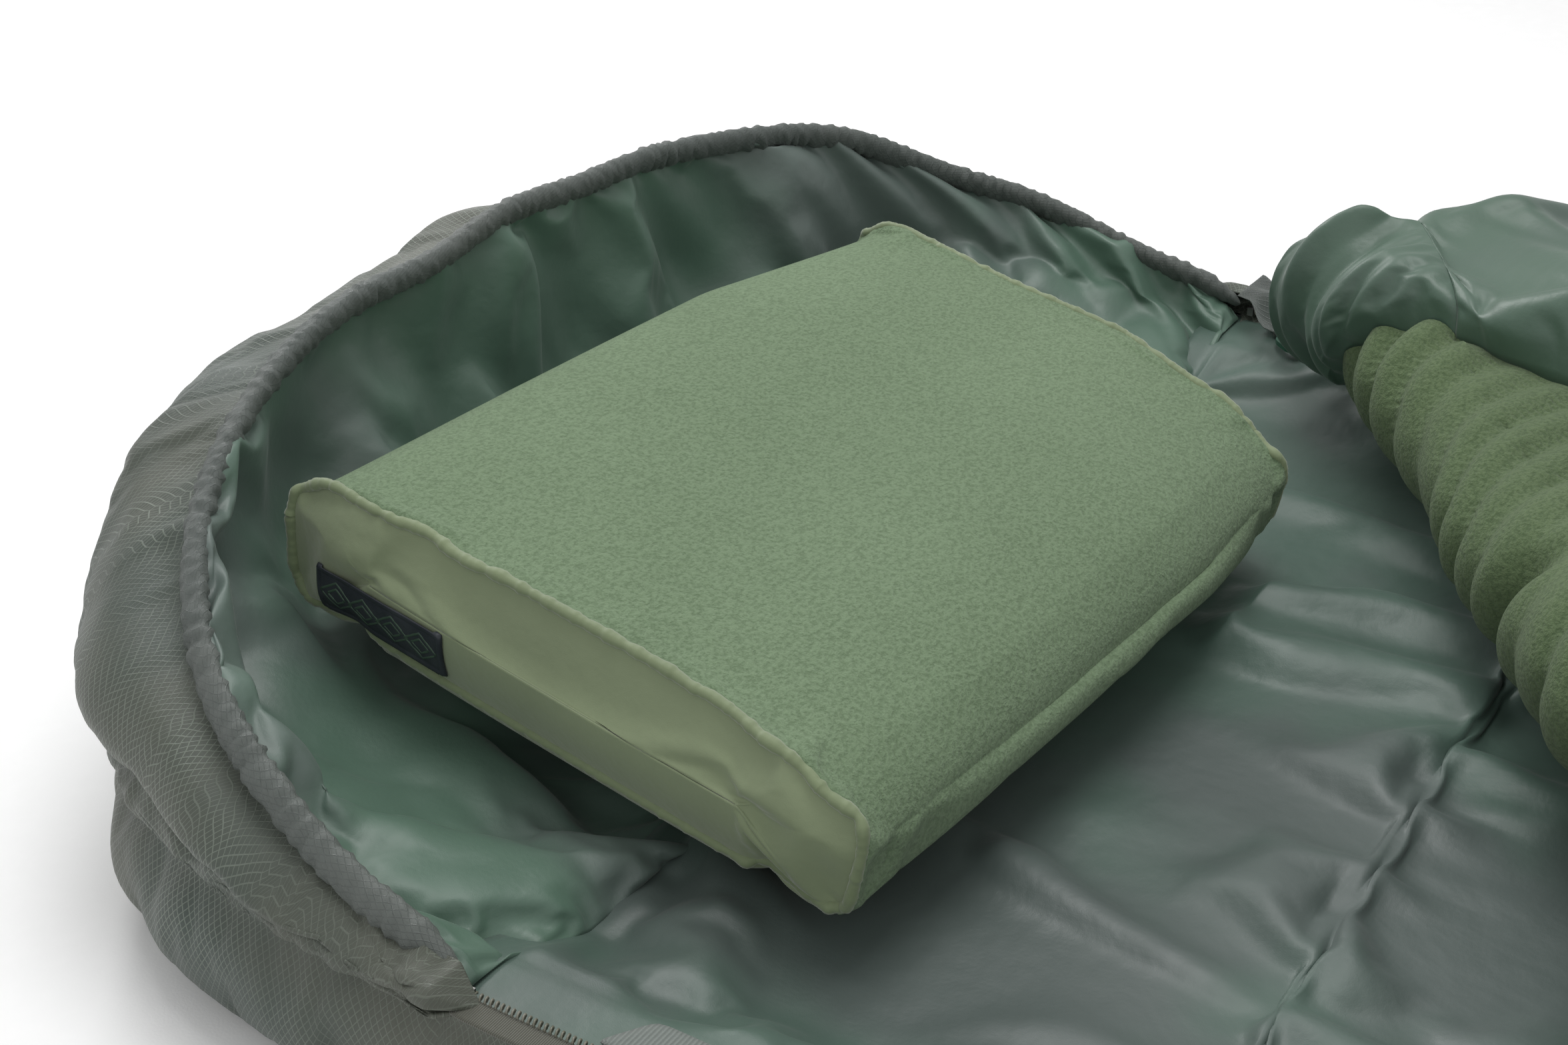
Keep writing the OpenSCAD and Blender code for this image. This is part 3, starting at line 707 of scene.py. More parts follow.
def pillow_grid():
    turn, side, full = pillow_sections()
    rows = []
    core = np.stack([np.clip(side[:, 0], -0.12, 0.12), np.full(len(side), SIDE_MIDDLE)], -1)
    for k in range(CAP_RINGS, 0, -1):
        share = k / CAP_RINGS
        ring = side + (core - side) * share
        rows.append((-HALF_W - 0.010 * (1 - (1 - share) ** 2), ring))
    spread = np.sin(np.linspace(-np.pi / 2, np.pi / 2, CROSS_RINGS) * 0.9) / math.sin(np.pi / 2 * 0.9)
    for x in spread * HALF_W:
        swell = (1 - np.abs(x / HALF_W) ** 7.0) ** (1 / 2.4) if abs(x) < HALF_W else 0.0
        crown_up = 1 + 0.03 * (1 - (x / HALF_W) ** 2)
        ring = side + (full * [1, crown_up] - side) * swell
        rows.append((x, ring))
    for k in range(1, CAP_RINGS + 1):
        share = k / CAP_RINGS
        rows.append((HALF_W + 0.010 * (1 - (1 - share) ** 2), side + (core - side) * share))
    return np.stack([np.concatenate([np.full((len(turn), 1), x), ring], 1) for x, ring in rows])


pillow_local = pillow_grid()
first_seam, last_seam = CAP_RINGS, CAP_RINGS + CROSS_RINGS - 1
pins = np.zeros(pillow_local.shape[:2], bool)
turn_count = pillow_local.shape[1]
column_turn = (np.arange(turn_count) + 0.5) / turn_count * 360
pins[:, (column_turn > 250) & (column_turn < 290)] = True
pillow_local = settle(pillow_local, pins, grow=0.025, push=1.6, cap=0.010, wrap=True, flip=True, bend=0.4)
right = np.clip((pillow_local[..., 0] - 0.09) / 0.15, 0, 1)
to_foot = right * np.clip((-pillow_local[..., 1] - 0.04) / 0.14, 0, 1)
to_head = right * np.clip((pillow_local[..., 1] - 0.04) / 0.14, 0, 1)
height = np.clip(pillow_local[..., 2] / TALL, 0, 1)
pillow_local[..., 0] += 0.008 * to_head - 0.026 * to_foot
pillow_local[..., 1] += 0.012 * to_foot - 0.022 * to_head
head_half = np.clip(pillow_local[..., 1] / HALF_L, 0, 1)
pillow_local[..., 2] += height * (0.013 * head_half ** 1.5 - 0.012 * to_foot)
print("pillow:", pillow_local.reshape(-1, 3).min(0).round(3), pillow_local.reshape(-1, 3).max(0).round(3))

# %% Pillow pieces
seam_wave = waves(column_turn[None, :] * 0.01, 0, 0.28, 41) * 0.0016
for seam in (first_seam, last_seam):
    pillow_local[seam - 1:seam + 2, :, 2] += seam_wave * np.array([[0.5], [1.0], [0.5]])
pillow_world = place_pillow(pillow_local)
under = (column_turn > 205) & (column_turn < 335)
under_columns = np.flatnonzero(under)
fleece_columns = (np.arange(turn_count - len(under_columns) + 2) + under_columns[-1]) % turn_count
fleece_piece = panel("pillow_top", pillow_world[first_seam:last_seam + 1][:, fleece_columns], PILLOW_FLEECE,
                     flip=True, thick=0.0015)
sew(fleece_piece, "pillow", "fleece", "pillow_fleece", "pillow_fill", fill=0.85)
under_piece = panel("pillow_bottom", pillow_world[first_seam:last_seam + 1][:, under_columns], OLIVE,
                    flip=True, thick=0.0008)
sew(under_piece, "pillow", "olive_polyester", "pillow_underside", fill=0.85)


def ring_panel(name, rings, finish):
    """A side panel from rings that close in to a line."""
    piece = panel(name, rings, finish, wrap=True, thick=0.0008, flip=True)
    return sew(piece, "pillow", "olive_polyester", "pillow_side_band", fill=0.85)


ring_panel("pillow_side_near", pillow_world[:first_seam + 1], OLIVE)
ring_panel("pillow_side_far", pillow_world[last_seam:], OLIVE)


def fine_ring(row, count=900):
    """The seam's ring with more points, so that the piping can wrinkle."""
    path = np.concatenate([pillow_local[row], pillow_local[row, :1]])
    run = np.concatenate([[0], np.cumsum(np.linalg.norm(np.diff(path, axis=0), axis=1))])
    at = np.linspace(0, run[-1], count, endpoint=False)
    return np.stack([np.interp(at, run, path[:, k]) for k in range(3)], -1), at


for label, row, seed in (("near", first_seam, 51), ("far", last_seam, 52)):
    path, at = fine_ring(row)
    path[:, 0] += np.sign(path[:, 0]) * 0.0010
    swell = 0.0032 + waves(at, 0, 0.012, seed) * 0.00035 + waves(at, 0, 0.005, seed + 9) * 0.0002
    rings = tube(path, swell, sides=8, closed=True)
    rings = place_pillow(np.concatenate([rings, rings[:1]]))
    piece = panel("pillow_piping_" + label, rings, PIPING, wrap=True, smooth=0)
    sew(piece, "pillow", "olive_polyester", "pillow_piping")

# %% [markdown]
# ## Quilted floor of the body
# The floor runs from the first quilting seam to beyond the fold. Seams cross it every 0.3 m. It rises over
# the padded edge to the zips. Between two seams the cloth is too large for its place.

# %% Body lining
SEAM_PITCH = 0.305


def on_wadding(points):
    """Lets the lining sink only a little into the wadding below it."""
    low = edge_profile(points[..., 0]) - 0.003
    sunk = np.maximum(low - points[..., 2], 0)
    points[..., 2] = np.maximum(points[..., 2], low) - 0.003 * np.tanh(sunk / 0.006)
    return points


def body_lining():
    x = np.concatenate([[-0.466, -0.452, -0.440], np.linspace(-0.428, 0.428, 124), [0.440, 0.452, 0.466]])
    y = np.concatenate([[0.022, 0.011], np.linspace(0, -3 * SEAM_PITCH, 133)])
    flat_x, flat_y = np.meshgrid(x, y)
    z = edge_profile(flat_x)
    seam_share = np.abs(np.sin(np.pi * flat_y / SEAM_PITCH))
    inside = np.clip((0.43 - np.abs(flat_x)) / 0.05, 0, 1)
    z = z + 0.007 * seam_share ** 0.6 * inside
    z = z + inside * seam_share * (0.005 * waves(flat_x * 0.5, flat_y, 0.10, 61)
                                   + 0.004 * waves(flat_x, flat_y * 0.6 + flat_x * 0.3, 0.05, 62))
    z = z - 0.0025 * np.clip((np.abs(flat_x) - 0.408) / 0.006, 0, 1)
    points = np.stack([flat_x, flat_y, z], -1)
    held = np.abs(flat_x) > 0.413
    held[:3] = held[2::44] = True
    points[:2, :, 2] -= 0.004
    held[:, :4] = held[:, -4:] = True
    return on_wadding(settle(points, held, grow=0.085, push=0.6, cap=0.024, flip=False, bend=1.6, frames=24))


body_shape = body_lining()


def clear_of_pillow(points):
    """Moves points of the lining that are inside the pillow out of it: down, or out to the nearer side."""
    turned = points - PILLOW_AT
    x = turned[..., 0] * math.cos(PILLOW_TURN) + turned[..., 1] * math.sin(PILLOW_TURN)
    level_y = -turned[..., 0] * math.sin(PILLOW_TURN) + turned[..., 1] * math.cos(PILLOW_TURN)
    y = level_y * math.cos(PILLOW_TILT) + turned[..., 2] * math.sin(PILLOW_TILT)
    z = -level_y * math.sin(PILLOW_TILT) + turned[..., 2] * math.cos(PILLOW_TILT)
    deep_x, deep_y, deep_z = HALF_W + 0.012 - np.abs(x), HALF_L + 0.012 - np.abs(y), z + 0.002
    inside = (deep_x > 0) & (deep_y > 0) & (deep_z > 0) & (z < TALL + 0.01)
    least = np.minimum(np.minimum(deep_x, deep_y), deep_z)
    x = np.where(inside & (least == deep_x), np.sign(x) * (HALF_W + 0.012), x)
    y = np.where(inside & (least == deep_y), np.sign(y) * (HALF_L + 0.012), y)
    z = np.where(inside & (least == deep_z), -0.002, z)
    return np.where(inside[..., None], place_pillow(np.stack([x, y, z], -1)), points)


head_shape, body_shape = clear_of_pillow(head_shape), clear_of_pillow(body_shape)
head_piece = panel("head_lining", head_shape, HOOD_SATIN_PAINTED_LIGHT, thick=0.0008, flip=True)
sew(head_piece, "base", "satin_lining", "hood_lining", "base_lining", fill=0.6)
body_piece = panel("body_lining", body_shape, FLOOR_SATIN_PAINTED_SHADE, thick=0.0008)
sew(body_piece, "base", "satin_lining", "base_lining", fill=0.6)
print("body lining:", body_shape.shape)

# %% [markdown]
# ## Base, outside
# The padded edge of the base is one long panel. It is quilted to the wadding by upright seams, so between
# them it swells, and it creases at each seam. Its columns go all the way round the bag, and its rows come
# from under the bag, up the side and in to the zip tape, or in under the hood.

# %% Base, outside
SIDE_STEP = 0.0065
ZIP_X, ZIP_Z, ZIP_FOOT, ZIP_TOP = half - 0.018, edge + 0.006, -(foot - 0.140), -0.006


def round_bag(inset):
    """Points of the bag's outline drawn in by inset: the hood, the far side, the foot and the near side."""
    hood = np.stack(round_hood(hood_angles, inset), -1)
    sides = np.arange(SIDE_STEP, foot - CORNER, SIDE_STEP)
    arc = np.linspace(0, np.pi / 2, 28)
    reach = CORNER - inset
    x0, y0 = half - CORNER, -(foot - CORNER)
    far = np.stack([np.full(len(sides), half - inset), -sides], -1)
    far_corner = np.stack([x0 + reach * np.cos(arc), y0 - reach * np.sin(arc)], -1)
    across = np.linspace(x0, -x0, 112)[1:-1]
    end = np.stack([across, np.full(len(across), y0 - reach)], -1)
    near_corner = np.stack([-x0 - reach * np.sin(arc), y0 - reach * np.cos(arc)], -1)
    near = far[::-1] * [-1, 1]
    return np.concatenate([hood, far, far_corner, end, near_corner, near])


def base_outside():
    rim = round_bag(0.0)
    count = len(rim)
    run = np.concatenate([[0], np.cumsum(np.linalg.norm(np.diff(rim, axis=0), axis=1))])
    hood = np.arange(count) < len(hood_angles)
    middle = np.stack([np.zeros(count), np.clip(rim[:, 1], -(foot - 0.45), 0.0)], -1)
    rows = [np.concatenate([rim + (middle - rim) * share, np.full((count, 1), 0.0004)], 1)
            for share in (1.0, 0.6, 0.25, 0.08)]
    for inset, z in ((0.012, 0.0006), (0.004, 0.004), (0.0, 0.011), (-0.004, 0.020), (-0.007, 0.030),
                     (-0.008, 0.040), (-0.007, 0.050), (-0.005, 0.060), (-0.001, 0.070),
                     (0.003, edge - 0.001)):
        rows.append(np.concatenate([round_bag(inset), np.full((count, 1), z)], 1))
    for inset, z, tucked in ((0.0022, 0.0806, 0.0782), (0.0040, 0.0830, 0.0784)):
        ring = round_bag(inset)
        rows.append(np.concatenate([ring, np.where(hood, tucked, z)[:, None]], 1))
    past_zip = np.clip((ZIP_FOOT - rim[:, 1]) / 0.02, 0, 1)
    for inset in (0.014, 0.046):
        ring = np.where(hood[:, None], round_bag(0.008), round_bag(inset))
        height = np.where(hood, 0.0776, edge - 0.004 + 0.0035 * past_zip)
        rows.append(np.concatenate([ring, height[:, None]], 1))
    points = np.stack(rows)
    upright = np.abs(((rim[:, 1] + SEAM_PITCH / 2) % SEAM_PITCH) - SEAM_PITCH / 2) < SIDE_STEP * 0.55
    upright &= np.abs(rim[:, 0]) > half - CORNER
    end_seam = (rim[:, 1] < -foot + 0.002) & (np.abs((rim[:, 0] + 0.15) % 0.30 - 0.15) < 0.005)
    held = np.zeros((len(rows), count), bool)
    held[:5] = held[-5:] = True
    held[:, upright | end_seam] = True
    pull = np.where(upright | end_seam, 1.0, 0.0)
    for _ in range(10):
        pull = np.maximum(pull, 0.80 * np.maximum(np.roll(pull, 1), np.roll(pull, -1)))
    waist = np.exp(-((np.arange(len(rows)) - 9) / 3.0) ** 2)[:, None] * pull[None, :] * 0.007
    points = points - outward(points) * waist[..., None]
    points = settle(points, held, grow=0.07, push=1.0, cap=0.010, wrap=True, flip=True, bend=0.15)
    side = np.exp(-((np.arange(len(rows)) - 9) / 3.2) ** 2)[:, None]
    crumple = waves(run[None, :], np.arange(len(rows))[:, None] * 0.006, 0.055, 71) * 0.0022
    points = points + outward(points) * (side * crumple)[..., None]
    points[..., 2] = np.maximum(points[..., 2], 0.0003)
    return points


def outward(points):
    """Level unit vectors that point away from the bag's middle line."""
    flat = points - np.stack([np.zeros(points.shape[:2]), np.clip(points[..., 1], -(foot - 0.45), 0.0),
                              points[..., 2]], -1)
    return flat / np.maximum(np.linalg.norm(flat, axis=2, keepdims=True), 1e-6)


base_shape = base_outside()
base_piece = panel("base_outside", base_shape, SHELL, wrap=True, smooth=1)
sew(base_piece, "base", "ripstop_shell", "base_shell", "base_fill", fill=0.6)
print("base outside:", base_shape.shape)

# %% [markdown]
# ## Zips
# Each side has two rows of coil on two woven tapes. A coil is one nylon wire wound in flattened turns, so it
# is a helix swept along the tape. The tapes get fine ribs from their material.

# %% Tapes and coils
COIL_PITCH = 0.0030
near_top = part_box("near_slider")[1][1] - 0.011
far_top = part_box("far_slider")[1][1]


def strip(name, x0, x1, y0, y1, z0, z1, finish, step=0.01, thick=0.001, rows=4, cut=0.0, wander=0.0006):
    """A ribbon along the bag, from x0 to x1; cut slants its head end."""
    run = np.linspace(0, 1, max(int(abs(y1 - y0) / step), 2))[None, :]
    side = np.linspace(0, 1, rows)[:, None]
    x = x0 + (x1 - x0) * side + 0 * run
    y = y0 + cut * side + (y1 - y0 - cut * side) * run
    z = z0 + (z1 - z0) * side + waves(y, 0, 0.11, 81) * wander
    flat = np.stack([y, side * abs(x1 - x0) + 0 * run], -1)
    return panel(name, np.stack([x, y, z], -1), finish, flat=flat, thick=thick, flip=(x1 > x0) == (y1 > y0))


def helix(name, x, y0, y1, across=0.0021, up=0.0019, wire=0.00062, turns_per_m=1 / COIL_PITCH):
    """One row of a coil zip."""
    count = int(abs(y1 - y0) * turns_per_m * 7)
    turn = np.arange(count) * 2 * np.pi / 7
    path = np.stack([x + across * np.cos(turn), np.linspace(y0, y1, count), ZIP_Z + up * np.sin(turn)], -1)
    ahead = np.gradient(path, axis=0)
    ahead /= np.linalg.norm(ahead, axis=1, keepdims=True)
    out = np.stack([np.cos(turn), np.zeros(count), np.sin(turn)], -1)
    side = np.cross(ahead, out)
    ring = np.arange(4) * np.pi / 2 + np.pi / 4
    points = path[:, None] + wire * (np.cos(ring)[None, :, None] * out[:, None]
                                     + np.sin(ring)[None, :, None] * side[:, None])
    return panel(name, points, COIL, wrap=True, smooth=0)


for side_name, side, lid_top in (("near", -1, near_top), ("far", 1, far_top)):
    base_tape = strip(side_name + "_base_tape", side * (ZIP_X + 0.0047), side * half, ZIP_TOP, ZIP_FOOT,
                      ZIP_Z, ZIP_Z - 0.0004, TAPE)
    sew(base_tape, "base", "zip_tape", "base_zip_tapes")
    base_coil = helix(side_name + "_base_coil", side * (ZIP_X + 0.0030), -0.010, ZIP_FOOT + 0.005)
    sew(base_coil, "base", "zip_coil", "base_zip_coils")
    lid_tape = strip(side_name + "_lid_tape", side * (ZIP_X - 0.0047), side * 0.4335, lid_top, ZIP_FOOT,
                     ZIP_Z, ZIP_Z, TAPE)
    sew(lid_tape, "base", "zip_tape", "lid_zip_tapes")
    lid_coil = helix(side_name + "_lid_coil", side * (ZIP_X - 0.0030), lid_top, ZIP_FOOT + 0.005)
    sew(lid_coil, "base", "zip_coil", "lid_zip_coils")
    band_top = -0.125 if side > 0 else -0.068
    band = strip(side_name + "_webbing", side * 0.445, side * 0.420, band_top, ZIP_FOOT, edge + 0.0002,
                 edge, WEBBING, thick=0.0008, cut=-0.016, rows=5)
    sew(band, "base", "webbing", "anti_snag_webbing")
print("zips: near lid chain starts at", round(near_top, 3), "and far at", round(far_top, 3))

# %% [markdown]
# ## Lid, the part that stays closed
# Quilted like the floor: seams cross it every 0.3 m, and it swells between them. Its head edge is the
# diagonal fold, so the rows run along that fold near it and straighten towards the foot.

# %% The fold's own frame
fold_joint = next(joint for joint in frame["joints"] if joint["name"] == "lid_fold")
fold_at, fold_axis = np.array(fold_joint["pos_m"]), np.array(fold_joint["axis"])
fold_out = np.array([-fold_axis[1], fold_axis[0], 0.0])
FOLD_IN = 0.050
turn_z = fold_at[2]


def from_fold(s, q, z):
    """A point s along the fold, q out from its outermost line, at height z."""
    s, q, z = np.broadcast_arrays(s, q, z)
    flat = fold_at[:2] + s[..., None] * fold_axis[:2] + (q - FOLD_IN)[..., None] * fold_out[:2]
    return np.concatenate([flat, z[..., None]], -1)


def fold_line(x, q):
    """The y where the line at q crosses x."""
    s = (fold_at[0] + (q - FOLD_IN) * fold_out[0] - x) / -fold_axis[0]
    return fold_at[1] + s * fold_axis[1] + (q - FOLD_IN) * fold_out[1]


# %% Lid
LID_LOW, LID_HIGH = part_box("lid_lining")[0][2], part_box("lid_shell")[1][2]
LID_FOOT = -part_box("lid_shell")[0][1]


def lid_grid(x_count, y_count, inset):
    """Plan of the closed lid: x across, y from the fold to the foot with round corners."""
    across = np.linspace(-1, 1, x_count)[None, :]
    down = np.linspace(0, 1, y_count)[:, None]
    width = 0.433 - inset
    x = across * width + 0 * down
    start = fold_line(x, 0.056)
    corner = 0.09
    over = np.clip((np.abs(x) - (width - corner)) / corner, 0, 1)
    last = -(LID_FOOT - inset) + corner * (1 - np.sqrt(np.clip(1 - over ** 2, 0, 1)))
    return x, start + (last - start) * down


def lid_outside():
    x, y = lid_grid(150, 190, 0.0)
    seams = np.abs(np.sin(np.pi * (y + 0.02) / SEAM_PITCH)) ** 0.5
    rise = LID_HIGH - 0.010 + 0.016 * seams
    edge_share = np.clip((0.433 - np.abs(x)) / 0.05, 0, 1)
    foot_share = np.clip((y - y[-1:]) / 0.05, 0, 1)
    drop = np.sqrt(1 - (1 - edge_share) ** 2) * np.sqrt(1 - (1 - foot_share) ** 2)
    z = LID_LOW + 0.004 + (rise - LID_LOW - 0.004) * drop
    z += drop * seams * waves(x * 0.6, y, 0.09, 91) * 0.002
    points = np.stack([x, y, z], -1)
    quilted = np.abs(((y + 0.02 + SEAM_PITCH / 2) % SEAM_PITCH) - SEAM_PITCH / 2) < 0.0045
    held = quilted.copy()
    held[0] = held[-1] = held[:, 0] = held[:, -1] = True
    return settle(points, held, grow=0.06, push=0.5, cap=0.009, bend=0.2)


lid_shape = lid_outside()
lid_piece = panel("lid_outside", lid_shape, SHELL, thick=0.001)
sew(lid_piece, "base", "ripstop_shell", "lid_shell", "lid_fill", fill=0.6)
x, y = lid_grid(60, 90, 0.002)
under_z = LID_LOW + 0.0012 + 0.0012 * waves(x, y, 0.12, 92) * np.clip((0.43 - np.abs(x)) / 0.1, 0, 1)
under_z = np.clip(under_z, LID_LOW, LID_LOW + 0.004)
lid_inside = panel("lid_inside", np.stack([x, y, under_z], -1), FLOOR_SATIN_PAINTED_SHADE, thick=0.0008, flip=True)
sew(lid_inside, "base", "satin_lining", "lid_lining", fill=0.6)


def gusset_line(inset):
    """The foot panel's path: down one side, round the foot and up the other."""
    width, corner, end = 0.433 - inset, 0.09 - inset, -(LID_FOOT - inset)
    arc = np.linspace(0, np.pi / 2, 20)
    side = np.linspace(ZIP_FOOT - 0.002, end + corner, 14)[:-1]
    near = np.stack([np.full(len(side), -width), side], -1)
    near_arc = np.stack([-width + corner * (1 - np.cos(arc)), end + corner * (1 - np.sin(arc))], -1)
    far, far_arc = near[::-1] * [-1, 1], near_arc[::-1] * [-1, 1]
    return np.concatenate([near, near_arc, far_arc, far])


gusset_path = gusset_line(0.004)
gusset_run = np.concatenate([[0], np.cumsum(np.linalg.norm(np.diff(gusset_path, axis=0), axis=1))])
heights = np.linspace(edge - 0.0005, LID_LOW + 0.001, 5)
bulge = np.sin(np.linspace(0, np.pi, 5)) * 0.0025
centre = np.array([0.0, -1.4])
away = gusset_path - centre
away /= np.linalg.norm(away, axis=1, keepdims=True)
rings = [np.concatenate([gusset_path + away * (b + 0.0006 * np.sin(gusset_run * 240)[:, None]),
                         np.full((len(gusset_path), 1), z)], 1) for z, b in zip(heights, bulge)]
gusset = panel("foot_panel", np.stack(rings), SHELL, thick=0.001)
sew(gusset, "base", "ripstop_shell", "foot_gusset")
print("lid and foot panel, foot panel", round(float(gusset_run[-1]), 3), "m long")

# %% [markdown]
# ## The folded corner
# The corner's fleece and the bend that carries it over are one grid, so their folds run on across the joint
# between them. The bend stays in place, on no body; the rest rides on the corner. Long soft folds
# leave the bend side by side and swing towards the near side, because the cloth is longer on the outside of
# the bend than on the inside.

# %% Fleece on the corner and its bend
BEND_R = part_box("flap_fleece")[1][2] - turn_z
FOLD_TURN = math.radians(33)
SEAM_SLOPE = 1 / math.tan(FOLD_TURN)
BEND_ROWS, FLAP_ROWS = 30, 84
SEAM_AT, SEAM_SKEW = 0.246, 0.044
NEAR_END, APEX_S, APEX_Q = 1.030, 0.822, 0.419


def seam_s(q):
    """Where the baffle's seam is, q out from the fold."""
    return SEAM_AT + (q - FOLD_IN) * SEAM_SLOPE


def near_s(q):
    """Where the corner's near edge is."""
    return NEAR_END - (q - FOLD_IN) * (NEAR_END - APEX_S) / (APEX_Q - FOLD_IN)


def bend_point(s, turn, lift):
    """turn runs from 0 on top of the bend to pi underneath it."""
    r = BEND_R + lift
    return from_fold(s, FOLD_IN - r * np.sin(turn), turn_z + r * np.cos(turn))


def long_folds(s, run, seed=101):
    """Ridges 38 mm apart; run is the distance out from the bend's top."""
    swing = (s + 0.55 * np.maximum(run, -0.06) + 0.9 * np.maximum(run, 0) ** 2
             + 0.004 * waves(s, run, 0.16, seed))
    phase = swing / 0.038 + 0.45 * waves(s * 0.3, run * 0.2, 0.10, seed + 1)
    ridge = np.abs(np.sin(np.pi * phase)) ** 0.7
    return ridge * np.clip(0.9 + 0.35 * waves(s, run, 0.12, seed + 2), 0.3, 1.5)


def corner_fleece():
    turns = np.linspace(np.pi, 0, BEND_ROWS)[:, None]
    c = np.linspace(0, 1, 300)[None, :]
    first = SEAM_AT - SEAM_SKEW * turns
    s_bend = first + (1.036 - first) * c
    run = -BEND_R * turns + 0 * c
    tuck = np.exp(-((s_bend - 0.507 - 0.10 * run) / 0.012) ** 2)
    fade = np.clip((np.pi - turns) / 1.0, 0, 1)
    lift = fade * (0.0105 * long_folds(s_bend, run) - 0.006 - 0.017 * tuck * np.clip(turns / 0.8, 0, 1)
                   + 0.004 * waves(s_bend, run, 0.2, 104))
    bend = bend_point(s_bend, turns + 0 * c, lift)
    q = FOLD_IN + np.linspace(0, 1, FLAP_ROWS)[1:, None] * (APEX_Q - FOLD_IN)
    a, b = seam_s(q), near_s(q)
    s_flap = a + (b - a) * c
    out = q - FOLD_IN + 0 * c
    to_edge = np.minimum(s_flap - a, b - s_flap)
    soft = np.clip(to_edge / 0.03, 0, 1) ** 0.5
    tuck = np.exp(-((s_flap - 0.507 - 0.25 * out) / 0.014) ** 2) * np.clip(1 - out / 0.12, 0, 1)
    lift = 0.0105 * long_folds(s_flap, out) - 0.006 + 0.004 * waves(s_flap, out, 0.2, 104)
    lift = lift * (0.3 + 0.7 * soft)
    crown_up = np.sin(np.clip(to_edge / 0.16, 0, 1) * np.pi / 2) * np.clip(out / 0.08, 0, 1)
    lift = lift - 0.012 * tuck + 0.008 * crown_up
    fall = 0.030 * np.clip(1 - (b - s_flap) / 0.030, 0, 1) ** 2 * np.clip(out / 0.02, 0, 1)
    flap = from_fold(s_flap, q + 0 * c, turn_z + BEND_R + lift - fall)
    return np.concatenate([bend, flap])


fleece_shape = corner_fleece()
fleece_bend = panel("fleece_bend", fleece_shape[:BEND_ROWS], LID_FLEECE, thick=0.0)
sew(fleece_bend, None, "fleece", "lid_bend", fill=0.6)
fleece_flap = panel("fleece_corner", fleece_shape[BEND_ROWS - 1:], LID_FLEECE, thick=0.0)
sew(fleece_flap, "lid_flap", "fleece", "flap_fleece", "flap_fill", fill=0.6)
print("corner fleece:", fleece_shape.shape)

# %% [markdown]
# ## Neck baffle
# A fat satin tube along the lid's top edge. It is sewn to the fleece along one puckered seam. It has more
# cloth than it needs, so it wrinkles along its length, most of all where it bends with the lid.

# %% Neck baffle and the satin part of the bend
BAFFLE_W, BAFFLE_RISE = 0.176, 0.060
FLAP_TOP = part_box("flap_shell")[1][2] + 0.004
along_seam = np.array([math.cos(FOLD_TURN), math.sin(FOLD_TURN)])
over_seam = np.array([-along_seam[1], along_seam[0]])
TOP_Z = turn_z + BEND_R
BEND_END, BAFFLE_LONG = 0.078, 0.700


def seam_to_fold(t, w):
    """(s, q) of a point t along the seam and w over it, towards the head."""
    return (SEAM_AT + t * along_seam[0] + w * over_seam[0],
            FOLD_IN + t * along_seam[1] + w * over_seam[1])


def baffle_start(w):
    """How far along the seam the baffle starts: at the fold, and then at the lid's far edge."""
    at_fold = -w * over_seam[1] / along_seam[1]
    corner_w = 0.075
    side = -corner_w * over_seam[1] / along_seam[1] + (w - corner_w) * 0.42
    return np.where(w < corner_w, at_fold, side)


def baffle():
    rows, cols = 46, 150
    turn = np.linspace(0, 1, rows)[:, None]
    c = np.linspace(0, 1, cols)[None, :]
    w = BAFFLE_W * (0.5 - 0.5 * np.cos(np.pi * np.clip(turn / 0.92, 0, 1))) + 0 * c
    start = baffle_start(w)
    t = start + (BAFFLE_LONG - start) * c
    s, q = seam_to_fold(t, w)
    arch = np.sin(np.pi * turn ** 0.90) ** 0.50 + 0 * c
    from_bend = np.clip((q - FOLD_IN) / 0.085, 0, 1)
    from_side = np.clip((t - start) / 0.045, 0, 1)
    low = TOP_Z - 0.002 - 0.026 * np.clip((turn - 0.45) / 0.55, 0, 1) ** 1.6
    z = low + BAFFLE_RISE * arch * (0.70 + 0.30 * np.sin(from_bend * np.pi / 2))
    z = z + 0.016 * arch * np.clip((t - 0.02) / 0.14, 0, 1) - 0.012 * arch * np.clip((t - 0.55) / 0.15, 0, 1)
    side_part = np.clip((w - 0.060) / 0.025, 0, 1)
    closed = 1 - side_part * (1 - np.sqrt(1 - (1 - from_side) ** 2))
    z = FLAP_TOP + (z - FLAP_TOP) * closed
    points = from_fold(s, q, z)
    held = np.zeros((rows, cols), bool)
    held[0] = held[-1] = held[:, 0] = held[:, -1] = True
    fold = waves(t * 0.30, w * 1.6, 0.055, 111) * 0.0028 * arch + waves(t * 0.6, w, 0.12, 112) * 0.003 * arch
    points[..., 2] += fold * np.clip((t - start) / 0.03, 0, 1)
    return settle(points, held, grow=0.06, push=1.7, cap=0.014, bend=2.0, flip=True, frames=24)


baffle_shape = baffle()
baffle_piece = panel("neck_baffle", baffle_shape, BAFFLE_SATIN_PAINTED_SHADE, thick=0.0008, flip=True)
sew(baffle_piece, "lid_flap", "satin_lining", "neck_baffle_cover", "neck_baffle_fill", fill=0.9)


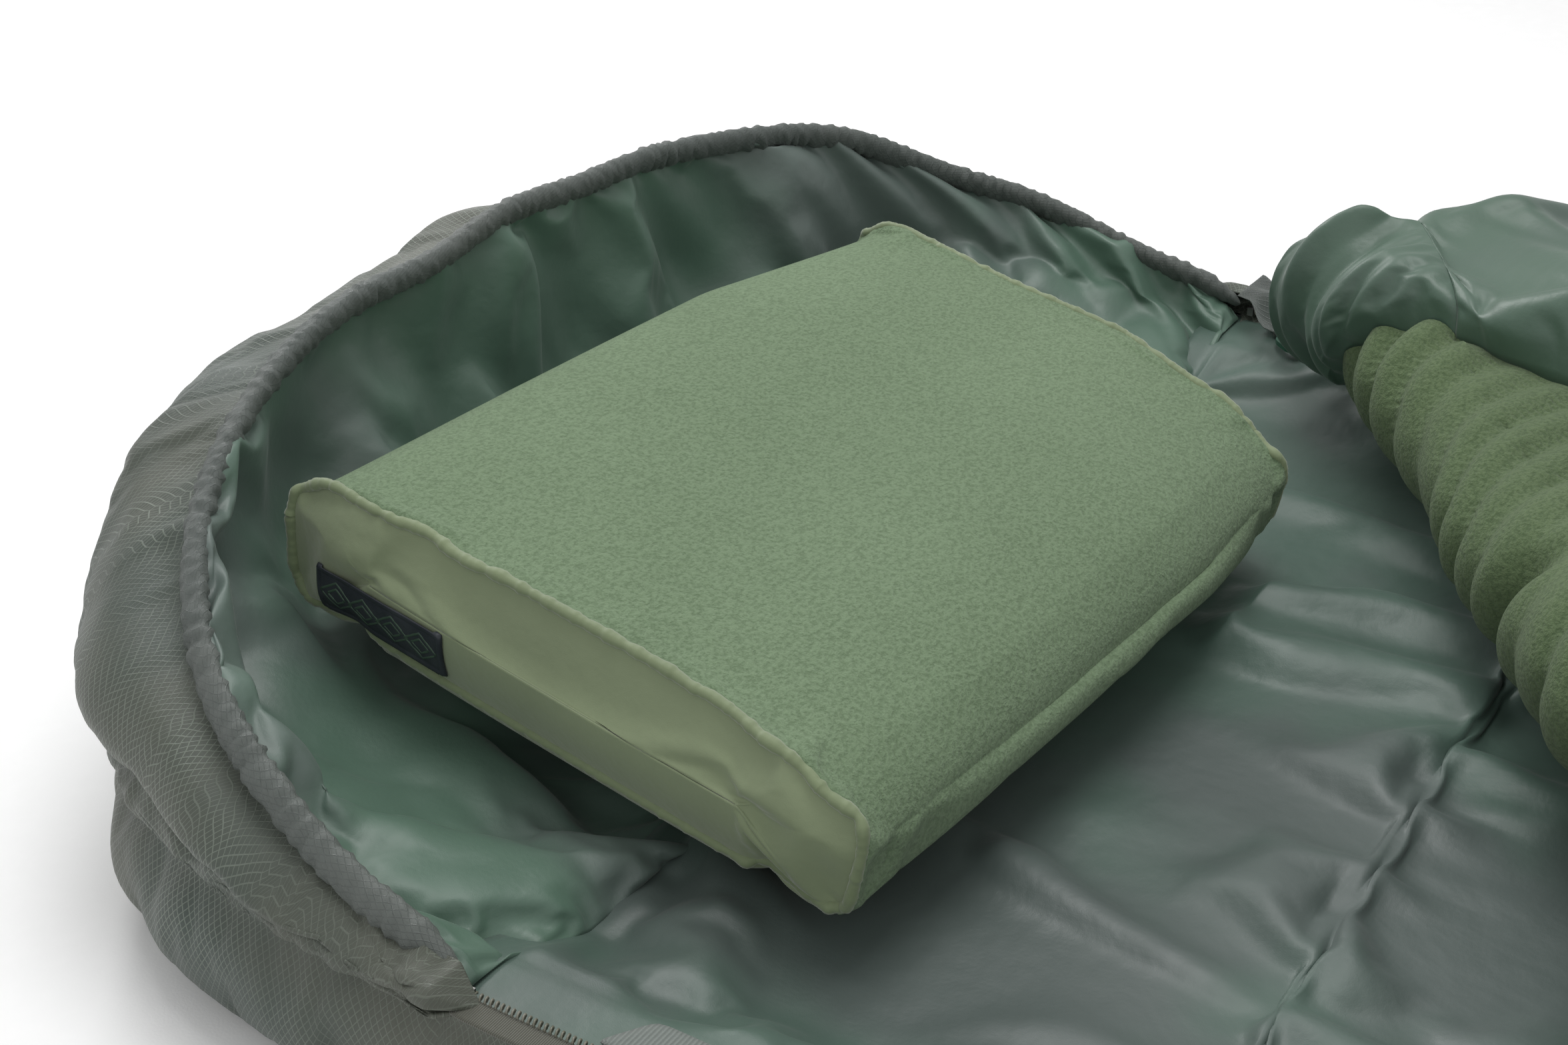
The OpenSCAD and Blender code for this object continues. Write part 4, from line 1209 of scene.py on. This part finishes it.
def satin_bend():
    turns = np.linspace(np.pi, 0, BEND_ROWS * 2)[:, None]
    c = np.linspace(0, 1, 70)[None, :]
    last = SEAM_AT - SEAM_SKEW * turns
    s = BEND_END + (last - BEND_END) * c
    edge_line = baffle_shape[:, 0]
    edge_s = (edge_line - fold_at) @ fold_axis
    edge_q = (edge_line - fold_at) @ fold_out
    at_bend = np.abs(edge_q) < 0.001
    order = np.argsort(edge_s[at_bend])
    rise = np.interp(s + SEAM_SKEW * turns, edge_s[at_bend][order], edge_line[at_bend][order, 2] - TOP_Z)
    rise = rise * np.clip((s - BEND_END) / 0.020, 0, 1)
    free = np.sin(np.pi * c) ** 0.4 * np.clip((np.pi - turns) / 0.8, 0, 1) * np.clip(turns / 0.35, 0, 1)
    lift = free * (0.002 + 0.005 * waves(s, turns * 0.02, 0.05, 121)
                   + 0.004 * waves(s * 2, turns * 0.01, 0.04, 122))
    lift = lift + rise * np.cos(turns / 2) ** 1.5
    points = bend_point(s, turns + 0 * c, lift)
    held = np.zeros(points.shape[:2], bool)
    held[0] = held[-1] = held[:, 0] = held[:, -1] = True
    points = settle(points, held, grow=0.06, push=0.8, cap=0.007, bend=1.2, frames=20)
    middle = np.array(from_fold(np.array(0.066), np.array(FOLD_IN), np.array(turn_z)))
    cap = [middle + (points[:, :1] - middle) * share for share in (0.04, 0.35, 0.65, 0.88)]
    return np.concatenate(cap + [points], 1)


satin_bend_shape = satin_bend()
satin_bend_piece = panel("satin_bend", satin_bend_shape, BAFFLE_SATIN_PAINTED_SHADE)
sew(satin_bend_piece, None, "satin_lining", "lid_bend", fill=0.8)
for bend in (fleece_bend, satin_bend_piece):
    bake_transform(bend)
print("baffle:", baffle_shape.reshape(-1, 3).max(0).round(3))

# %% [markdown]
# ## Underneath of the corner, and its loose zip
# The corner's other face is the lid's ripstop. It closes the pad from below and turns up at the edges. The
# loose half of the near zip runs along the corner's near edge.

# %% Corner's ripstop and zip
FLAP_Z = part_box("flap_shell")[0][2]


def under_corner():
    """Rows go from the fold outwards; each spans from the baffle's outer edge to the near edge."""
    share = np.linspace(0, 1, 90)[:, None]
    c = np.linspace(0, 1, 130)[None, :]
    tip_s, tip_q = seam_to_fold(BAFFLE_LONG, BAFFLE_W * 0.98)
    q = FOLD_IN + 0.004 + share * (tip_q - FOLD_IN - 0.004)
    w_edge = BAFFLE_W * 0.985
    side_s, side_q = seam_to_fold(baffle_start(np.array(w_edge)), w_edge)
    slope = (tip_s - side_s) / (tip_q - side_q)
    fold_s, fold_q = seam_to_fold(baffle_start(np.array(0.075)), 0.075)
    side_line = fold_s + (q - fold_q) * (side_s - fold_s) / (side_q - fold_q)
    low_s = np.where(q < side_q, side_line, side_s + (q - side_q) * slope)
    past_apex = APEX_S + (q - APEX_Q) * (tip_s - APEX_S) / (tip_q - APEX_Q)
    high_s = np.where(q < APEX_Q, near_s(q), past_apex)
    s = low_s + (high_s - low_s) * c
    rim = np.minimum(c, 1 - c) * (high_s - low_s)
    up = np.clip(1 - rim / 0.016, 0, 1) ** 1.6
    far_side = np.where(c < 0.5, 0.003, 0.0065)
    sag = 0.0022 * waves(s, q, 0.14, 131) * np.clip(rim / 0.04, 0, 1)
    z = FLAP_Z + 0.0025 + sag + up * far_side
    return from_fold(s, q + 0 * c, np.maximum(z, FLAP_Z + 0.0005))


under_shape = under_corner()
under_flap = panel("corner_outside", under_shape, SHELL, thick=0.001, flip=True)
sew(under_flap, "lid_flap", "ripstop_shell", "flap_shell", fill=0.6)


def near_wall():
    """The corner's near side, from its ripstop up to its fleece."""
    q = FOLD_IN + np.linspace(0, 1, FLAP_ROWS)[1:] * (APEX_Q - FOLD_IN)
    top = fleece_shape[BEND_ROWS:, -1]
    foot_s = near_s(q)
    low = from_fold(foot_s, q, np.full(len(q), FLAP_Z + 0.008))
    rows = np.linspace(0, 1, 7)[:, None, None]
    out = np.sin(rows * np.pi) * 0.004
    wall = low + (top - low) * rows
    return wall + out * np.array([*fold_axis[:2], 0.0])


wall_shape = near_wall()
wall_piece = panel("corner_near_side", wall_shape, SHELL, thick=0.0, flip=True)
sew(wall_piece, "lid_flap", "ripstop_shell", fill=0.6)

edge_from = np.array(from_fold(np.array(1.022), np.array(0.075), np.array(0.0)))
edge_to = np.array(from_fold(np.array(0.834), np.array(APEX_Q - 0.004), np.array(0.0)))
edge_run = edge_to - edge_from
edge_length = float(np.linalg.norm(edge_run))
edge_ahead = edge_run / edge_length
edge_side = np.array([edge_ahead[1], -edge_ahead[0], 0.0])
if edge_side @ np.array([fold_axis[0], fold_axis[1], 0.0]) < 0:
    edge_side = -edge_side
LOOSE_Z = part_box("flap_zip_tape")[0][2] + 0.0005
steps = np.linspace(0, 1, 60)[None, :, None]
widths = np.linspace(0.000, 0.0125, 5)[:, None, None]
loose = edge_from + edge_run * steps + edge_side * widths + np.array([0, 0, LOOSE_Z])
loose[..., 2] += waves(steps[..., 0] * edge_length, 0, 0.12, 141) * 0.001
flat = np.stack([steps[..., 0] * edge_length + 0 * widths[..., 0], widths[..., 0] + 0 * steps[..., 0]], -1)
loose_tape = panel("loose_tape", loose, TAPE, flat=flat, thick=0.001)
sew(loose_tape, "lid_flap", "zip_tape", "flap_zip_tape")
turns = int(edge_length / COIL_PITCH * 7)
angle = np.arange(turns) * 2 * np.pi / 7
centre_line = edge_from + edge_run * np.linspace(0, 1, turns)[:, None] + edge_side * 0.0148
coil_path = centre_line + edge_side * 0.0020 * np.cos(angle)[:, None]
coil_path[:, 2] += LOOSE_Z + 0.0018 * np.sin(angle)
loose_coil = panel("loose_coil", tube(coil_path, 0.00062, sides=4), COIL, wrap=True, smooth=0)
sew(loose_coil, "lid_flap", "zip_coil", "flap_zip_coil")

# %% [markdown]
# ## Small sewn and moulded parts
# The cloth tab over the far slider is a small folded sheet. The rubber patch on the pillow is a thin plate
# with a raised rim and a plain diamond pattern, bent to the side panel. Sliders, stops and pulls keep their
# CAD shapes, with their edges rounded a little.

# %% Slider tab
tab_u = np.linspace(0, 1, 26)[None, :]
tab_v = np.linspace(0, 1, 22)[:, None]
corner_a, corner_b = np.array([0.448, 0.001, 0.0965]), np.array([0.440, -0.020, 0.1210])
corner_c, corner_d = np.array([0.385, -0.073, 0.0980]), np.array([0.404, -0.036, 0.0955])
tab = ((1 - tab_u) * (1 - tab_v))[..., None] * corner_a + (tab_u * (1 - tab_v))[..., None] * corner_b \
    + (tab_u * tab_v)[..., None] * corner_c + ((1 - tab_u) * tab_v)[..., None] * corner_d
tab[..., 2] += 0.012 * np.sin(np.pi * tab_v) * (0.5 + 0.5 * np.sin(np.pi * tab_u)) \
    + 0.004 * waves(tab_u, tab_v, 0.7, 151) * np.sin(np.pi * tab_v)
tab_piece = panel("slider_tab", tab, BAND, thick=0.0012)
sew(tab_piece, "base", "ripstop_shell", "zip_garage")

# %% Rubber patch on the pillow
label_low, label_high = 0.068, 0.158


def rubber_patch():
    rows, cols = 40, 96
    v, u = np.linspace(-1, 1, rows)[:, None], np.linspace(-1, 1, cols)[None, :]
    half_l, half_h = 0.045, 0.0145
    y = (label_low + label_high) / 2 + u * half_l + 0 * v
    z = 0.048 + v * half_h + 0 * u
    round_off = 0.004
    over = np.hypot(np.maximum(np.abs(u * half_l) - (half_l - round_off), 0),
                    np.maximum(np.abs(v * half_h) - (half_h - round_off), 0)) / round_off
    rim = np.minimum(half_l - np.abs(u * half_l), half_h - np.abs(v * half_h))
    height = 0.0016 - 0.0008 * np.clip((rim - 0.0020) / 0.0006, 0, 1)
    diamonds = np.maximum(np.abs(np.sin((u * half_l + v * half_h) * np.pi / 0.011)),
                          np.abs(np.sin((u * half_l - v * half_h) * np.pi / 0.011)))
    height = height + 0.0002 * np.clip((diamonds - 0.80) / 0.1, 0, 1) * (rim > 0.0040)
    height = np.where(over > 1, 0.0, height)
    return y, z, height


patch_y, patch_z, patch_h = rubber_patch()
side_points = pillow_local[:first_seam + 1].reshape(-1, 3)


def side_depth(y, z):
    """How far out the pillow's side panel stands at (y, z): a smooth average of its nearest points."""
    off_y, off_z = side_points[None, :, 1] - y.reshape(-1, 1), side_points[None, :, 2] - z.reshape(-1, 1)
    gap = off_y ** 2 + off_z ** 2
    weight = np.exp(-gap / 0.008 ** 2)
    return ((weight * side_points[None, :, 0]).sum(1) / weight.sum(1)).reshape(y.shape)


patch = np.stack([side_depth(patch_y, patch_z) - patch_h - 0.0014, patch_y, patch_z], -1)
patch_piece = panel("pillow_patch", place_pillow(patch), LABEL, smooth=0, thick=0.0008, flip=False)
sew(patch_piece, "pillow", "label_rubber", "pillow_label")


def patch_pattern():
    """A row of raised diamonds on the patch, one inside another."""
    rings = []
    for middle in np.linspace(label_low + 0.0145, label_high - 0.0145, 4):
        for size in (1.0, 0.55):
            turn = np.linspace(0, 2 * np.pi, 33)[:-1]
            reach = 1 / (np.abs(np.cos(turn)) + np.abs(np.sin(turn)))
            y, z = middle + 0.0115 * size * reach * np.cos(turn), 0.048 + 0.0088 * size * reach * np.sin(turn)
            path = np.stack([side_depth(y, z) - 0.0028, y, z], -1)
            ring = tube(path, 0.0008, sides=6, closed=True)
            rings.append(place_pillow(np.concatenate([ring, ring[:1]])))
    return rings


raised = [panel("raised", ring, LABEL_MARK, wrap=True, smooth=0) for ring in patch_pattern()]
with bpy.context.temp_override(active_object=raised[0], selected_editable_objects=raised):
    bpy.ops.object.join()
raised[0].name = "pillow_patch_diamonds"
sew(raised[0], "pillow", "label_rubber")

# %% Finishes and rounded edges of the hard parts
hard = {name: GUNMETAL for name in ("near_slider", "far_slider", "zip_top_stops", "zip_bottom_stops")}
for corner in ("near_outer", "near_inner", "far_outer", "far_inner"):
    hard[corner + "_link"], hard[corner + "_loop"] = GUNMETAL, GREEN
for name, finish in hard.items():
    part = frame["nodes"][name]
    for place in part.material_slots:
        place.material = finish
    bevel = part.modifiers.new("rounded edges", "BEVEL")
    bevel.width = 0.0013 if name.endswith("loop") else 0.0003
    bevel.segments, bevel.limit_method = 3, "ANGLE"
print("hard parts finished:", len(hard))

# %% Floor of the studio
floor_mesh = bpy.data.meshes.new("studio_floor")
floor_mesh.from_pydata([(-14, -14, 0), (14, -14, 0), (14, 14, 0), (-14, 14, 0)], [], [(0, 1, 2, 3)])
paper = moulded("paper", rgb(0.93, 0.93, 0.93), rgb(0.94, 0.94, 0.94), 0.9)
studio_floor = dress("studio_floor", floor_mesh, paper)
studio_floor.location.z = -0.0006
